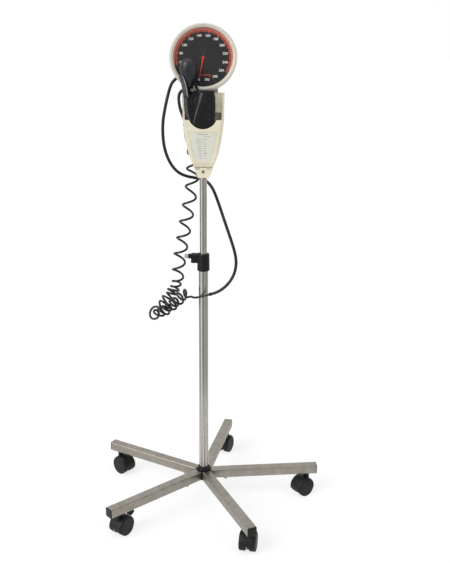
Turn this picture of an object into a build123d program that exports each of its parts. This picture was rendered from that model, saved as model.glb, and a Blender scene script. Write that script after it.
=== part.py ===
from build123d import *
import os
from math import cos, pi, radians, sin, sqrt, tan

# Aneroid sphygmomanometer on a five-arm rolling stand.
# Millimetres. The floor is z = 0, the pole stands on the Z axis and the gauge faces -Y.

# Base
arm_count = 5
arm_turn = 6.0
arm_side = 25.0
arm_wall = 1.5
arm_corner = 1.8
arm_bottom = 63.5
arm_top = arm_bottom + arm_side
arm_mid = arm_bottom + arm_side / 2
arm_reach = 323.6
hub_apothem = 20.0
end_cap = 2.5
arm_bolt_reach = 62.0
stem_reach = 295.0

# Casters
wheel_radius = 25.0
wheel_inner = 5.0
wheel_outer = 22.0
axle_radius = 3.0
trail = 14.0
hood_radius = 29.0
hood_wall = 2.2
hood_half_width = 20.0
hood_skirt = 19.0
web_half = 3.5
wheel_sides = 32
hood_sides = 24
stem_radius = 5.0
caster_headings = [-144.0, 245.0, -41.0, 55.0, 80.0]
braked_caster = 4
brake_ear_in = 8.0
brake_ear_out = 10.0
brake_pivot = (31.0, 16.0)
brake_ear = [(26.0, 10.0), (32.5, 12.5), (34.0, 16.5), (31.0, 19.5), (22.5, 17.0)]
brake_outline = [(28.4, 14.2), (33.0, 13.2), (43.0, 20.5), (42.5, 23.5), (31.5, 18.8), (28.6, 18.0)]

# Poles and height collar
lower_radius = 12.7
lower_wall = 1.5
lower_top = 703.0
upper_radius = 9.525
upper_wall = 1.2
upper_bottom = 403.0
collar_bottom = 672.0
collar_top = 718.0
knob_height = 711.0
running_fit = 0.05

# Basket holder
holder_bottom = 918.5
ledge_low = 947.6
ledge_high = 959.3
pocket_top = 1065.0
scoop_low = 1042.5
shoulder_low = 1082.0
holder_top = 1129.5
holder_back_y = 20.0
holder_front_y = -20.0
shell_split_y = 1.0
holder_wall = 2.6
holder_levels = [holder_bottom, 948.0, 962.0, 980.0, 1003.0, 1032.0, pocket_top, holder_top]
half_widths_back = [16.0, 27.5, 33.2, 39.2, 44.6, 49.4, 52.6, 53.5]
half_widths_front = [12.0, 22.3, 27.2, 32.6, 37.4, 41.3, 43.9, 44.6]
cavity_floor = 962.0
shoulder_y = 3.0

# Gauge
gauge_tilt = 17.0
gauge_centre = (0.0, 15.0, 1214.0)
bezel_radius = 84.0
window_radius = 73.5
dial_radius = 76.3
housing_radius = 79.0
housing_back_radius = 62.0
housing_depth = 34.0
pointer_length = 53.5
zero_angle = -100.0

# Tubing
tube_radius = 4.0
coil_tube_radius = 3.0

os.makedirs("parts", exist_ok=True)


def save(piece, label):
    piece.part.label = label
    export_step(piece.part, f"parts/{label}.step")


def facing(origin, direction, across=(0, 0, 1)):
    """Plane that looks along direction, with its x axis square to it and to across."""
    out = Vector(*direction).normalized()
    side = Vector(*across).cross(out).normalized()
    return Plane(origin=origin, x_dir=side, z_dir=out)


def solid_through(loops, mode=Mode.ADD):
    """Flat-faced solid through closed loops of points, with as many points in each loop."""
    faces = [Face(Wire.make_polygon(loops[0])), Face(Wire.make_polygon(loops[-1]))]
    for lower, upper in zip(loops, loops[1:]):
        for k in range(len(lower)):
            a, b, c, d = lower[k - 1], lower[k], upper[k], upper[k - 1]
            if abs((b - a).cross(d - a).normalized().dot(c - a)) < 1e-7:
                faces.append(Face(Wire.make_polygon([a, b, c, d])))
            else:
                faces.append(Face(Wire.make_polygon([a, b, c])))
                faces.append(Face(Wire.make_polygon([a, c, d])))
    add(Solid(Shell(faces)), mode=mode)


def turned(plane, rings, sides, mode=Mode.ADD):
    """Round body with flats all round, through rings of (radius, height over the plane)."""
    angles = [2 * pi * (k + 0.5) / sides for k in range(sides)]
    loops = [
        [plane.from_local_coords(Vector(radius * cos(a), radius * sin(a), height)) for a in angles]
        for radius, height in rings
    ]
    solid_through(loops, mode)


def cut_corners(width, height, corner):
    """Corner points of a rectangle about the origin with its corners cut off."""
    x = width / 2
    y = height / 2
    points = [(x - corner, y), (x, y - corner), (x, corner - y), (x - corner, -y)]
    return points + [(-a, -b) for a, b in points]


def arm_angle(index):
    return arm_turn + index * 360 / arm_count


def polar(reach, angle, height):
    return (reach * cos(radians(angle)), reach * sin(radians(angle)), height)


def radial_plane(reach, angle, height):
    return facing(polar(reach, angle, height), polar(1, angle, 0))


# Base hub: black core with five fingers that plug into the arms
with BuildPart() as base_hub:
    with BuildSketch(Plane.XY.offset(arm_bottom)):
        RegularPolygon(hub_apothem, arm_count, major_radius=False, rotation=arm_turn - 180 / arm_count)
    extrude(amount=arm_side)
    for i in range(arm_count):
        with BuildSketch(radial_plane(hub_apothem, arm_angle(i), arm_mid)):
            Rectangle(21.4, 21.4)
        extrude(amount=62)
    with BuildSketch(Plane.XY.offset(arm_bottom + 4)):
        RegularPolygon(lower_radius + running_fit, 32, major_radius=False)
    extrude(amount=arm_side, mode=Mode.SUBTRACT)
    with BuildSketch(Plane.XY.offset(arm_bottom)):
        RegularPolygon(4.1, 12)
        with PolarLocations(arm_bolt_reach, arm_count, start_angle=arm_turn):
            RegularPolygon(3.0, 8, major_radius=False)
    extrude(amount=18, mode=Mode.SUBTRACT)
save(base_hub, "base_hub")

# Arms: square tube with an open end outside, holed below for its bolt and caster stem
for i in range(arm_count):
    inner_end = hub_apothem + 0.3
    outer_end = arm_reach - end_cap
    with BuildPart() as base_arm:
        with BuildSketch(radial_plane(inner_end, arm_angle(i), arm_mid)):
            Polygon(*cut_corners(arm_side, arm_side, arm_corner))
            Rectangle(arm_side - 2 * arm_wall, arm_side - 2 * arm_wall, mode=Mode.SUBTRACT)
        extrude(amount=outer_end - inner_end)
        with BuildSketch(Plane.XY.offset(arm_bottom)):
            with Locations(polar(arm_bolt_reach, arm_angle(i), 0)[:2]):
                RegularPolygon(3.4, 8)
            with Locations(polar(stem_reach, arm_angle(i), 0)[:2]):
                RegularPolygon(stem_radius + running_fit, 12, major_radius=False)
        extrude(amount=arm_wall + 0.5, mode=Mode.SUBTRACT)
    save(base_arm, f"base_arm_{i + 1}")

with BuildPart() as arm_end_caps:
    for i in range(arm_count):
        with BuildSketch(radial_plane(arm_reach - end_cap, arm_angle(i), arm_mid)):
            Polygon(*cut_corners(arm_side, arm_side, arm_corner))
        extrude(amount=end_cap)
        with BuildSketch(radial_plane(arm_reach - end_cap, arm_angle(i), arm_mid)):
            Rectangle(21.4, 21.4)
        extrude(amount=-12)
save(arm_end_caps, "arm_end_caps")

# Domed bolts into the hub fingers, and the hub bolt with its washer
with BuildPart() as base_bolts:
    for i in range(arm_count):
        seat = Plane.XY.move(Location(polar(arm_bolt_reach, arm_angle(i), arm_bottom)))
        turned(seat, [(3.0, -3.5), (5.5, -2.2), (5.5, 0)], 8)
        turned(seat, [(2.9, -0.5), (2.9, 16)], 8)
    turned(Plane.XY.offset(arm_bottom), [(11, -1.6), (11, 0)], 12)
    turned(Plane.XY.offset(arm_bottom), [(7.5, -6.6), (7.5, -1.5)], 6)
    turned(Plane.XY.offset(arm_bottom), [(3.9, -2), (3.9, 12)], 12)
save(base_bolts, "base_bolts")

with BuildPart() as foot_collar:
    turned(Plane.XY.offset(arm_top), [(17.8, 0.1), (17.8, 4.6), (16.4, 6.0)], 32)
    with BuildSketch(Plane.XY.offset(arm_top)):
        RegularPolygon(lower_radius + running_fit, 32, major_radius=False)
    extrude(amount=8, mode=Mode.SUBTRACT)
save(foot_collar, "foot_collar")

# Lower pole with its welded foot plug
with BuildPart() as lower_tube:
    with BuildSketch(Plane.XY.offset(arm_bottom + 4.1)):
        Circle(lower_radius)
    extrude(amount=lower_top - arm_bottom - 4.1)
    with BuildSketch(Plane.XY.offset(arm_bottom + 12)):
        Circle(lower_radius - lower_wall)
    extrude(amount=lower_top, mode=Mode.SUBTRACT)
    with BuildSketch(Plane.XY.offset(arm_bottom)):
        RegularPolygon(4.1, 12)
    extrude(amount=20, mode=Mode.SUBTRACT)
save(lower_tube, "lower_tube")

# Height collar: clamp body on the lower pole with a side lug for the knob
with BuildPart() as height_collar:
    turned(Plane.XY.offset(collar_bottom), [(14.6, 0), (16.6, 3), (15.8, collar_top - collar_bottom)], 32)
    with BuildSketch(Plane.XY.offset(694)):
        Polygon((0, -10), (0, 10), (-30.4, 10), (-32.4, 7), (-32.4, -7), (-30.4, -10))
    extrude(amount=collar_top - 694)
    with BuildSketch(Plane.XY.offset(collar_bottom)):
        RegularPolygon(lower_radius + running_fit, 32, major_radius=False)
    extrude(amount=706.1 - collar_bottom, mode=Mode.SUBTRACT)
    with BuildSketch(Plane.XY.offset(collar_bottom)):
        RegularPolygon(upper_radius + 0.3, 24, major_radius=False)
    extrude(amount=collar_top, mode=Mode.SUBTRACT)
    with BuildSketch(Plane.YZ.offset(-40)):
        with Locations((0, knob_height)):
            Circle(3.05)
    extrude(amount=35, mode=Mode.SUBTRACT)
save(height_collar, "height_collar")

with BuildPart() as guide_bush:
    with BuildSketch(Plane.XY.offset(653)):
        RegularPolygon(lower_radius - lower_wall - running_fit, 32)
    extrude(amount=50.1)
    with BuildSketch(Plane.XY.offset(703.1)):
        RegularPolygon(lower_radius - running_fit, 32)
    extrude(amount=2.7)
    with BuildSketch(Plane.XY.offset(653)):
        RegularPolygon(upper_radius + running_fit, 32, major_radius=False)
    extrude(amount=60, mode=Mode.SUBTRACT)
save(guide_bush, "guide_bush")

# Clamp knob on the lug: screw, fluted grip and light tip
with BuildPart() as collar_knob:
    with BuildSketch(facing((-upper_radius - 0.5, 0, knob_height), (-1, 0, 0))):
        Circle(3.0)
    extrude(amount=23)
    grip = facing((-32.8, 0, knob_height), (-1, 0, 0))
    turned(grip, [(6.0, 0), (6.9, 1.2), (6.9, 7.6), (6.0, 8.8)], 12)
    turned(grip, [(5.4, 8.7), (5.4, 14.5), (3.6, 17.0)], 12)
save(collar_knob, "collar_knob")

with BuildPart() as upper_tube:
    with BuildSketch(Plane.XY.offset(upper_bottom)):
        Circle(upper_radius)
        Circle(upper_radius - upper_wall, mode=Mode.SUBTRACT)
    extrude(amount=949 - upper_bottom)
save(upper_tube, "upper_tube")


# Casters
def caster_sketch_plane(index):
    """Upright plane through the stem, with x along the trail and y up, that looks along the axle."""
    heading = radians(caster_headings[index])
    stem = polar(stem_reach, arm_angle(index), 0)
    return Plane(origin=stem, x_dir=(cos(heading), sin(heading), 0), z_dir=(sin(heading), -cos(heading), 0))


for i in range(arm_count):
    side = caster_sketch_plane(i)
    stem_x, stem_y, _ = polar(stem_reach, arm_angle(i), 0)
    with BuildPart() as caster_housing:
        # A solid hood with its stem boss, then room for a wheel on each side of the web
        with BuildSketch(side.offset(-hood_half_width)):
            with Locations((trail, wheel_radius)):
                RegularPolygon(hood_radius, hood_sides)
            with Locations((trail, hood_skirt)):
                Rectangle(80, 40, align=(Align.CENTER, Align.MAX), mode=Mode.SUBTRACT)
        extrude(amount=2 * hood_half_width)
        with BuildSketch(Plane.XY.offset(47)):
            with Locations((stem_x, stem_y)):
                RegularPolygon(8.0, 8)
        extrude(amount=15.9)
        for outward in (-1, 1):
            with BuildSketch(side.offset(outward * web_half)):
                with Locations((trail, wheel_radius)):
                    RegularPolygon(hood_radius - hood_wall, hood_sides)
            extrude(amount=outward * 2 * hood_half_width, mode=Mode.SUBTRACT)
        with BuildSketch(Plane.XY.offset(50.5)):
            with Locations((stem_x, stem_y)):
                Circle(stem_radius + running_fit)
        extrude(amount=20, mode=Mode.SUBTRACT)
        # Axle through the web
        with BuildSketch(side.offset(1 - wheel_outer)):
            with Locations((trail, wheel_radius)):
                Circle(axle_radius)
        extrude(amount=2 * wheel_outer - 2)
        if i == braked_caster - 1:
            for start in (-brake_ear_out, brake_ear_in):
                with BuildSketch(side.offset(start)):
                    Polygon(*[(trail + x, wheel_radius + y) for x, y in brake_ear])
                extrude(amount=brake_ear_out - brake_ear_in)
            with BuildSketch(side.offset(-brake_ear_out)):
                with Locations((trail + brake_pivot[0], wheel_radius + brake_pivot[1])):
                    Circle(1.5)
            extrude(amount=2 * brake_ear_out)
    save(caster_housing, f"caster_housing_{i + 1}")

    for name, start, outward in (("left", -wheel_inner, -1), ("right", wheel_inner, 1)):
        with BuildPart() as caster_wheel:
            with BuildSketch(side.offset(start)):
                with Locations((trail, wheel_radius)):
                    RegularPolygon(wheel_radius, wheel_sides)
                    RegularPolygon(axle_radius + running_fit, 12, major_radius=False, mode=Mode.SUBTRACT)
            extrude(amount=outward * (wheel_outer - wheel_inner))
        save(caster_wheel, f"caster_wheel_{name}_{i + 1}")

with BuildPart() as caster_stems:
    with BuildSketch(Plane.XY.offset(51)):
        with PolarLocations(stem_reach, arm_count, start_angle=arm_turn):
            Circle(stem_radius)
    extrude(amount=26)
save(caster_stems, "caster_stems")

# Brake lever between the ears of one caster
with BuildPart() as brake_lever:
    side = caster_sketch_plane(braked_caster - 1)
    with BuildSketch(side.offset(-7.5)):
        Polygon(*[(trail + x, wheel_radius + y) for x, y in brake_outline])
        with Locations((trail + brake_pivot[0], wheel_radius + brake_pivot[1])):
            Circle(1.55, mode=Mode.SUBTRACT)
    extrude(amount=15)
save(brake_lever, "brake_lever")


# Basket holder
def holder_width(y, z):
    """Half width of the holder at a depth and height."""
    k = max(i for i in range(len(holder_levels) - 1) if holder_levels[i] <= z)
    up = (z - holder_levels[k]) / (holder_levels[k + 1] - holder_levels[k])
    forward = (holder_back_y - y) / (holder_back_y - holder_front_y)
    back = half_widths_back[k] + (half_widths_back[k + 1] - half_widths_back[k]) * up
    front = half_widths_front[k] + (half_widths_front[k + 1] - half_widths_front[k]) * up
    return back + (front - back) * forward


def holder_loop(y, low, high, inset=0.0):
    """Outline of the holder at a depth, between two heights, drawn in by inset."""
    heights = [low] + [z for z in holder_levels if low < z < high] + [high]
    right = [Vector(holder_width(y, z) - inset, y, z) for z in heights]
    return right + [Vector(-point.X, y, point.Z) for point in reversed(right)]


with BuildPart() as holder_back:
    solid_through([holder_loop(y, holder_bottom, holder_top) for y in (holder_back_y, shell_split_y)])
    cavity_back = holder_back_y - holder_wall
    for back, top in ((cavity_back, shoulder_low), (shoulder_y, holder_top + 1)):
        solid_through([holder_loop(y, cavity_floor, top, holder_wall) for y in (back, 0)], Mode.SUBTRACT)
    # Seam in the front of the shoulder
    with BuildSketch(Plane.XZ.offset(-shoulder_y - 1)):
        with Locations((0, 1097)):
            Rectangle(120, 1.0)
    extrude(amount=8, mode=Mode.SUBTRACT)
    # Socket for the pole, forward to the cap with its two slots
    with BuildSketch(Plane.XZ.offset(-shell_split_y)):
        with BuildLine():
            Polyline(
                (-14.6, holder_bottom),
                (14.6, holder_bottom),
                (24.6, ledge_low - 0.2),
                (-24.6, ledge_low - 0.2),
                close=True,
            )
        make_face()
    extrude(amount=16, taper=6)
    with BuildSketch(Plane.XZ.offset(20)):
        with Locations((-14, 942.6), (14, 942.6)):
            Rectangle(11, 3)
    extrude(amount=-8, mode=Mode.SUBTRACT)
    with BuildSketch(Plane.XZ.offset(20)):
        with Locations((0, 936)):
            Circle(2.1)
    extrude(amount=-16, mode=Mode.SUBTRACT)
    with BuildSketch(Plane.XY.offset(holder_bottom - 1)):
        Circle(upper_radius + 0.07)
    extrude(amount=950 - holder_bottom + 1, mode=Mode.SUBTRACT)
    with BuildSketch(Plane.XZ.offset(-holder_back_y - 1)):
        with Locations((-24, 1108), (24, 1108)):
            Circle(2.1)
    extrude(amount=12, mode=Mode.SUBTRACT)
save(holder_back, "holder_back")

with BuildPart() as pocket_front:
    solid_through([holder_loop(y, ledge_low, pocket_top) for y in (shell_split_y - 0.1, holder_front_y)])
    cavity_front = holder_front_y + holder_wall
    cavity = [holder_loop(y, cavity_floor, pocket_top + 1, holder_wall) for y in (shell_split_y, cavity_front)]
    solid_through(cavity, Mode.SUBTRACT)
    # Sloping ledge under the pocket
    with BuildSketch(Plane.YZ.offset(-60)):
        with BuildLine():
            Polyline((holder_front_y - 1, ledge_high + 2), (-14.8, ledge_low), (-30, ledge_low - 5), close=True)
        make_face()
    extrude(amount=120, mode=Mode.SUBTRACT)
    # Scooped mouth
    with BuildSketch(Plane.XZ.offset(25)):
        with BuildLine():
            Line((-34, pocket_top + 2), (-34, pocket_top))
            ThreePointArc((-34, pocket_top), (0, scoop_low), (34, pocket_top))
            Line((34, pocket_top), (34, pocket_top + 2))
            Line((34, pocket_top + 2), (-34, pocket_top + 2))
        make_face()
    extrude(amount=-20, mode=Mode.SUBTRACT)
    # Recessed panel for the card
    with BuildSketch(Plane.XZ.offset(25)):
        with BuildLine():
            Polyline((-37, 1036), (37, 1036), (21.5, 961.5), (-21.5, 961.5), close=True)
        make_face()
    extrude(amount=-6.2, mode=Mode.SUBTRACT)
    # Hollow around the socket in the floor
    with BuildSketch(Plane.XY.offset(ledge_low - 1)):
        Circle(upper_radius + 0.5)
    extrude(amount=6, mode=Mode.SUBTRACT)
save(pocket_front, "pocket_front")

with BuildPart() as holder_screws:
    cap_seat = Plane.XZ.offset(15.15)
    with BuildSketch(cap_seat):
        with Locations((0, 936)):
            RegularPolygon(4.0, 12)
    extrude(amount=2.2)
    with BuildSketch(cap_seat):
        with Locations((0, 936)):
            RegularPolygon(2.0, 6)
    extrude(amount=-5.3)
    back_seat = Plane.XZ.offset(-24.2)
    with BuildSketch(back_seat):
        with Locations((-24, 1108), (24, 1108)):
            RegularPolygon(4.0, 12)
    extrude(amount=-2.4)
    with BuildSketch(back_seat):
        with Locations((-24, 1108), (24, 1108)):
            RegularPolygon(2.0, 6)
    extrude(amount=14)
save(holder_screws, "holder_screws")

# Gauge, built on its tilted dial plane
dial_plane = Plane(
    origin=gauge_centre,
    x_dir=(1, 0, 0),
    z_dir=(0, -cos(radians(gauge_tilt)), sin(radians(gauge_tilt))),
)
gauge_sides = 48

with BuildPart() as gauge_bracket:
    with BuildSketch(Plane.YZ.offset(-36.5)):
        with BuildLine():
            Polyline(
                (20.1, 1085),
                (20.1, 1124),
                (30.6, 1146.8),
                (38.9, 1175.3),
                (42.7, 1174.2),
                (34.3, 1144.9),
                (24.1, 1122.5),
                (24.1, 1085),
                close=True,
            )
        make_face()
    extrude(amount=73)
    with BuildSketch(Plane.XZ.offset(-25)):
        with Locations((-24, 1108), (24, 1108)):
            Circle(2.1)
    extrude(amount=8, mode=Mode.SUBTRACT)
save(gauge_bracket, "gauge_bracket")

# The hose port leaves the housing wall at the lower left
port_angle = 215.0
port_depth = -20.0
port_radius = 3.4
port_start = 64.0
port_collar = 74.4
port_end = 79.0


def on_dial(radius, angle, height):
    local = Vector(radius * cos(radians(angle)), radius * sin(radians(angle)), height)
    return dial_plane.from_local_coords(local)


port_base = on_dial(port_start, port_angle, port_depth)
port_tip = on_dial(port_end, port_angle, port_depth)
port_direction = (port_tip - port_base).normalized()
port_plane = facing(port_base, port_direction)

with BuildPart() as gauge_housing:
    turned(dial_plane, [(housing_back_radius, -housing_depth), (housing_radius, -8), (housing_radius, 5)], gauge_sides)
    turned(
        dial_plane,
        [(housing_back_radius - 1.2, 2.5 - housing_depth), (housing_radius - 2.4, -7.5), (housing_radius - 2.4, 6)],
        gauge_sides,
        mode=Mode.SUBTRACT,
    )
    with BuildSketch(port_plane):
        Circle(port_radius + running_fit)
    extrude(amount=20, mode=Mode.SUBTRACT)
save(gauge_housing, "gauge_housing")

with BuildPart() as gauge_bezel:
    turned(
        dial_plane,
        [(bezel_radius - 0.7, -6.5), (bezel_radius, 5), (bezel_radius - 1.8, 9.6), (bezel_radius - 4.8, 11.3)],
        gauge_sides,
    )
    turned(dial_plane, [(housing_radius + 0.1, -7), (housing_radius + 0.1, 5.1)], gauge_sides, mode=Mode.SUBTRACT)
    turned(
        dial_plane,
        [(window_radius, 5), (window_radius, 7.4), (bezel_radius - 5.2, 11.35)],
        gauge_sides,
        mode=Mode.SUBTRACT,
    )
save(gauge_bezel, "gauge_bezel")

with BuildPart() as gauge_lens:
    turned(dial_plane, [(dial_radius, 3.2), (dial_radius, 5.0)], gauge_sides)
save(gauge_lens, "gauge_lens")

with BuildPart() as gauge_dial:
    turned(dial_plane, [(dial_radius, -1.0), (dial_radius, 0)], gauge_sides)
    with BuildSketch(dial_plane.offset(-2)):
        Circle(1.4)
    extrude(amount=3, mode=Mode.SUBTRACT)
save(gauge_dial, "gauge_dial")

# Movement: capsule, frame, sector gear and pinion
gear_module = 0.5
pinion_teeth = 8
sector_full_teeth = 80
pinion_pitch = gear_module * pinion_teeth / 2
sector_pitch = gear_module * sector_full_teeth / 2
sector_pivot = (-pinion_pitch - sector_pitch, 0)

with BuildPart() as pressure_capsule:
    turned(dial_plane, [(4, 2.6 - housing_depth), (4, -27.4)], 12)
    turned(
        dial_plane,
        [(13.5, -27.5), (14.5, -25.5), (11.5, -24.5), (14.5, -23.5), (14.5, -21.5), (9, -20.5)],
        24,
    )
    turned(dial_plane, [(3, -20.6), (3, -18)], 12)
save(pressure_capsule, "pressure_capsule")

with BuildPart() as movement_frame:
    for height in (-14.0, -5.0):
        with BuildSketch(dial_plane.offset(height)):
            with Locations((sector_pivot[0] / 2, 0)):
                Rectangle(44, 38)
            RegularPolygon(0.95, 8, major_radius=False, mode=Mode.SUBTRACT)
            with Locations(sector_pivot):
                RegularPolygon(1.15, 8, major_radius=False, mode=Mode.SUBTRACT)
        extrude(amount=1.2)
    with BuildSketch(dial_plane.offset(2.6 - housing_depth)):
        with Locations((-28, -16), (-28, 16), (6, -16), (6, 16)):
            Rectangle(3.2, 3.2)
    extrude(amount=27)
save(movement_frame, "movement_frame")


def toothed_arc(pitch, teeth, first, count, addendum, dedendum, fill):
    """Corner points of a row of straight teeth about the origin; angles in degrees."""
    step = 360 / teeth
    points = []
    for k in range(count):
        centre = first + k * step
        root = pitch - dedendum
        tip = pitch + addendum
        points += [(root, centre - step * fill / 2), (tip, centre - step * fill / 4)]
        points += [(tip, centre + step * fill / 4), (root, centre + step * fill / 2)]
    return [(r * cos(radians(a)), r * sin(radians(a))) for r, a in points]


tooth_fill = 0.42
with BuildPart() as pointer_pinion:
    with BuildSketch(dial_plane.offset(-9.2)):
        with BuildLine():
            Polyline(
                *toothed_arc(pinion_pitch, pinion_teeth, 360 / pinion_teeth / 2, pinion_teeth, 0.4, 0.6, tooth_fill),
                close=True,
            )
        make_face()
    extrude(amount=2.8)
    with BuildSketch(dial_plane.offset(-14.4)):
        Circle(0.85)
    extrude(amount=15.4)
save(pointer_pinion, "pointer_pinion")

# The sector rests at one end of its swing, so its teeth start beside the pinion
sector_tooth_step = 360 / sector_full_teeth
sector_teeth = 11
sector_plane = Plane(
    origin=dial_plane.from_local_coords(Vector(*sector_pivot, 0)),
    x_dir=dial_plane.x_dir,
    z_dir=dial_plane.z_dir,
)
with BuildPart() as sector_gear:
    with BuildSketch(sector_plane.offset(-8.6)):
        with BuildLine():
            first = -(sector_teeth - 2) * sector_tooth_step
            teeth = toothed_arc(sector_pitch, sector_full_teeth, first, sector_teeth, 0.4, 0.6, tooth_fill)
            Polyline((2.4, -2.4), *teeth, (-2.4, 2.4), (-5.5, 0), close=True)
        make_face()
    extrude(amount=1.2)
    with BuildSketch(sector_plane.offset(-14.4)):
        Circle(1.05)
    extrude(amount=11)
save(sector_gear, "sector_gear")

with BuildPart() as pointer:
    tip_x = pointer_length * cos(radians(zero_angle))
    tip_y = pointer_length * sin(radians(zero_angle))
    across_x = -sin(radians(zero_angle))
    across_y = cos(radians(zero_angle))
    tail = 19.0
    with BuildSketch(dial_plane.offset(1.0)):
        with BuildLine():
            Polyline(
                (3.2 * across_x, 3.2 * across_y),
                (tip_x + 0.9 * across_x, tip_y + 0.9 * across_y),
                (tip_x - 0.9 * across_x, tip_y - 0.9 * across_y),
                (-3.2 * across_x, -3.2 * across_y),
                close=True,
            )
        make_face()
        with BuildLine():
            Polyline(
                (0.8 * across_x, 0.8 * across_y),
                (-tip_x * tail / pointer_length + 0.5 * across_x, -tip_y * tail / pointer_length + 0.5 * across_y),
                (-tip_x * tail / pointer_length - 0.5 * across_x, -tip_y * tail / pointer_length - 0.5 * across_y),
                (-0.8 * across_x, -0.8 * across_y),
                close=True,
            )
        make_face()
        Circle(4.2)
    extrude(amount=0.8)
    with BuildSketch(dial_plane.offset(1.8)):
        Circle(2.2)
    extrude(amount=0.8)
save(pointer, "pointer")

# Hose barb through the lower left of the housing
with BuildPart() as gauge_port:
    turned(port_plane, [(port_radius, 0), (port_radius, port_end - port_start)], 12)
    turned(port_plane, [(4.8, port_collar - port_start), (4.8, port_collar - port_start + 2)], 12)
save(gauge_port, "gauge_port")

# Bulb with its valve and release screw, standing on the folded cuff
bulb_x = -35.0
bulb_y = -28.0
bulb_plane = Plane(origin=(bulb_x, bulb_y, 0))
with BuildPart() as inflation_bulb:
    turned(
        bulb_plane,
        [
            (7, 1146),
            (8.5, 1153),
            (14.5, 1165),
            (19.6, 1179),
            (21, 1191),
            (19.6, 1201),
            (15.0, 1208.5),
            (8.0, 1213),
            (3.0, 1214),
        ],
        20,
    )
save(inflation_bulb, "inflation_bulb")

screw_direction = (0.8, -0.6, 0)
valve_height = 1139.0
inlet_direction = Vector(-0.66, 0.72, -0.2).normalized()
inlet_base = Vector(bulb_x, bulb_y, 1141.0)
inlet_tip = inlet_base + inlet_direction * 10
with BuildPart() as bulb_valve:
    turned(bulb_plane, [(4, 1129), (4, 1132), (6, 1133), (6, 1144), (4.5, 1145.9)], 12)
    turned(facing(inlet_base, inlet_direction), [(3.2, 0), (3.2, 10)], 8)
    screw_plane = facing((bulb_x, bulb_y, valve_height), screw_direction)
    turned(screw_plane, [(3.6, 0), (3.6, 9)], 8)
    with BuildSketch(screw_plane):
        Circle(1.6)
    extrude(amount=10, mode=Mode.SUBTRACT)
save(bulb_valve, "bulb_valve")

screw_start = Vector(bulb_x, bulb_y, valve_height) + Vector(*screw_direction) * 3
with BuildPart() as valve_screw:
    with BuildSketch(facing(screw_start, screw_direction)):
        Circle(1.5)
    extrude(amount=6.5)
    turned(facing(screw_start, screw_direction), [(3.8, 6.4), (4.4, 7.4), (4.4, 13.4), (3.8, 14.4)], 10)
save(valve_screw, "valve_screw")

# Folded cuff: rounded sections from the pocket floor to the top fold
cuff_sections = [
    (968.0, -19.0, 17.5, -14.0, 13.0),
    (1000.0, -32.0, 28.0, -16.0, 15.0),
    (1045.0, -38.0, 31.0, -16.8, 14.0),
    (1066.0, -40.5, 31.5, -16.8, 12.0),
    (1080.0, -46.0, 32.0, -22.0, 0.6),
    (1100.0, -48.0, 32.0, -27.0, 0.6),
    (1120.0, -49.0, 31.5, -36.0, 0.6),
    (1128.9, -47.0, 29.5, -38.0, -0.5),
]
with BuildPart() as cuff:
    loops = []
    for level, left, right, front, back in cuff_sections:
        middle = Vector((left + right) / 2, (front + back) / 2, level)
        corners = cut_corners(right - left, back - front, 5)
        loops.append([middle + Vector(x, y, 0) for x, y in corners])
    solid_through(loops)
save(cuff, "cuff")


# Plain tubing: straight runs joined by arcs as large as the runs allow
def route_radii(points):
    radii = []
    for before, corner, after in zip(points, points[1:], points[2:]):
        run_in = Vector(*corner) - Vector(*before)
        run_out = Vector(*after) - Vector(*corner)
        half_turn = radians(run_in.get_angle(run_out)) / 2
        radii.append(0.45 * min(run_in.length, run_out.length) / tan(half_turn))
    return radii


def tube_along(points, radius, label):
    radii = route_radii(points)
    with BuildPart() as tube:
        with BuildLine() as route:
            FilletPolyline(*points, radius=radii)
        with BuildSketch(facing(points[0], Vector(*points[1]) - Vector(*points[0]), (0, 1, 0))):
            RegularPolygon(radius, 6)
        sweep()
    length = route.wire().length
    print(label, "length", round(length, 1), "least radius", round(min(radii), 1))
    section = 1.5 * sqrt(3) * radius**2
    print(label, "volume over section times length", round(tube.part.volume / (section * length), 4))
    save(tube, label)


coil_foot = Vector(14.0, -29.0, 614.0)
coil_foot_direction = Vector(0.94, -0.08, 0.30).normalized()
connector_length = 12.0
tube_foot = coil_foot + coil_foot_direction * connector_length
gauge_tube_route = [
    tuple(port_tip),
    tuple(port_tip + port_direction * 14),
    (-85.4, 15.8, 1143.8),
    (-91.0, 13.0, 1127.0),
    (-99.0, 9.0, 1095.0),
    (-106.0, 6.5, 1062.0),
    (-107.5, 7.0, 1030.0),
    (-105.0, 10.0, 997.0),
    (-97.0, 20.0, 967.5),
    (-84.0, 36.0, 941.0),
    (-66.0, 51.0, 921.5),
    (-44.5, 61.5, 910.5),
    (-19.0, 63.0, 906.5),
    (6.0, 53.0, 902.5),
    (22.5, 39.0, 886.0),
    (34.5, 27.0, 860.0),
    (46.5, 16.0, 827.0),
    (60.0, 5.0, 789.5),
    (79.5, -13.0, 737.0),
    (87.0, -19.0, 704.0),
    (83.5, -23.0, 674.0),
    (70.5, -26.5, 649.0),
    (53.0, -29.6, 631.5),
    tuple(tube_foot + coil_foot_direction * 11),
    tuple(tube_foot),
]
tube_along(gauge_tube_route, tube_radius, "gauge_tube")

coil_head = Vector(-48.0, 27.5, 1043.0)
cuff_tube_route = [
    (-48.0, 27.5, 1055.0),
    (-48.0, 27.5, 1067.0),
    (-51.5, 27.3, 1080.5),
    (-57.5, 25.6, 1092.5),
    (-62.0, 20.7, 1104.2),
    (-63.5, 13.0, 1115.0),
    (-61.8, 3.8, 1124.5),
    (-56.6, -5.0, 1132.2),
    tuple(inlet_tip + inlet_direction * 12),
    tuple(inlet_tip),
]
tube_along(cuff_tube_route, tube_radius, "cuff_tube")

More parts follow.
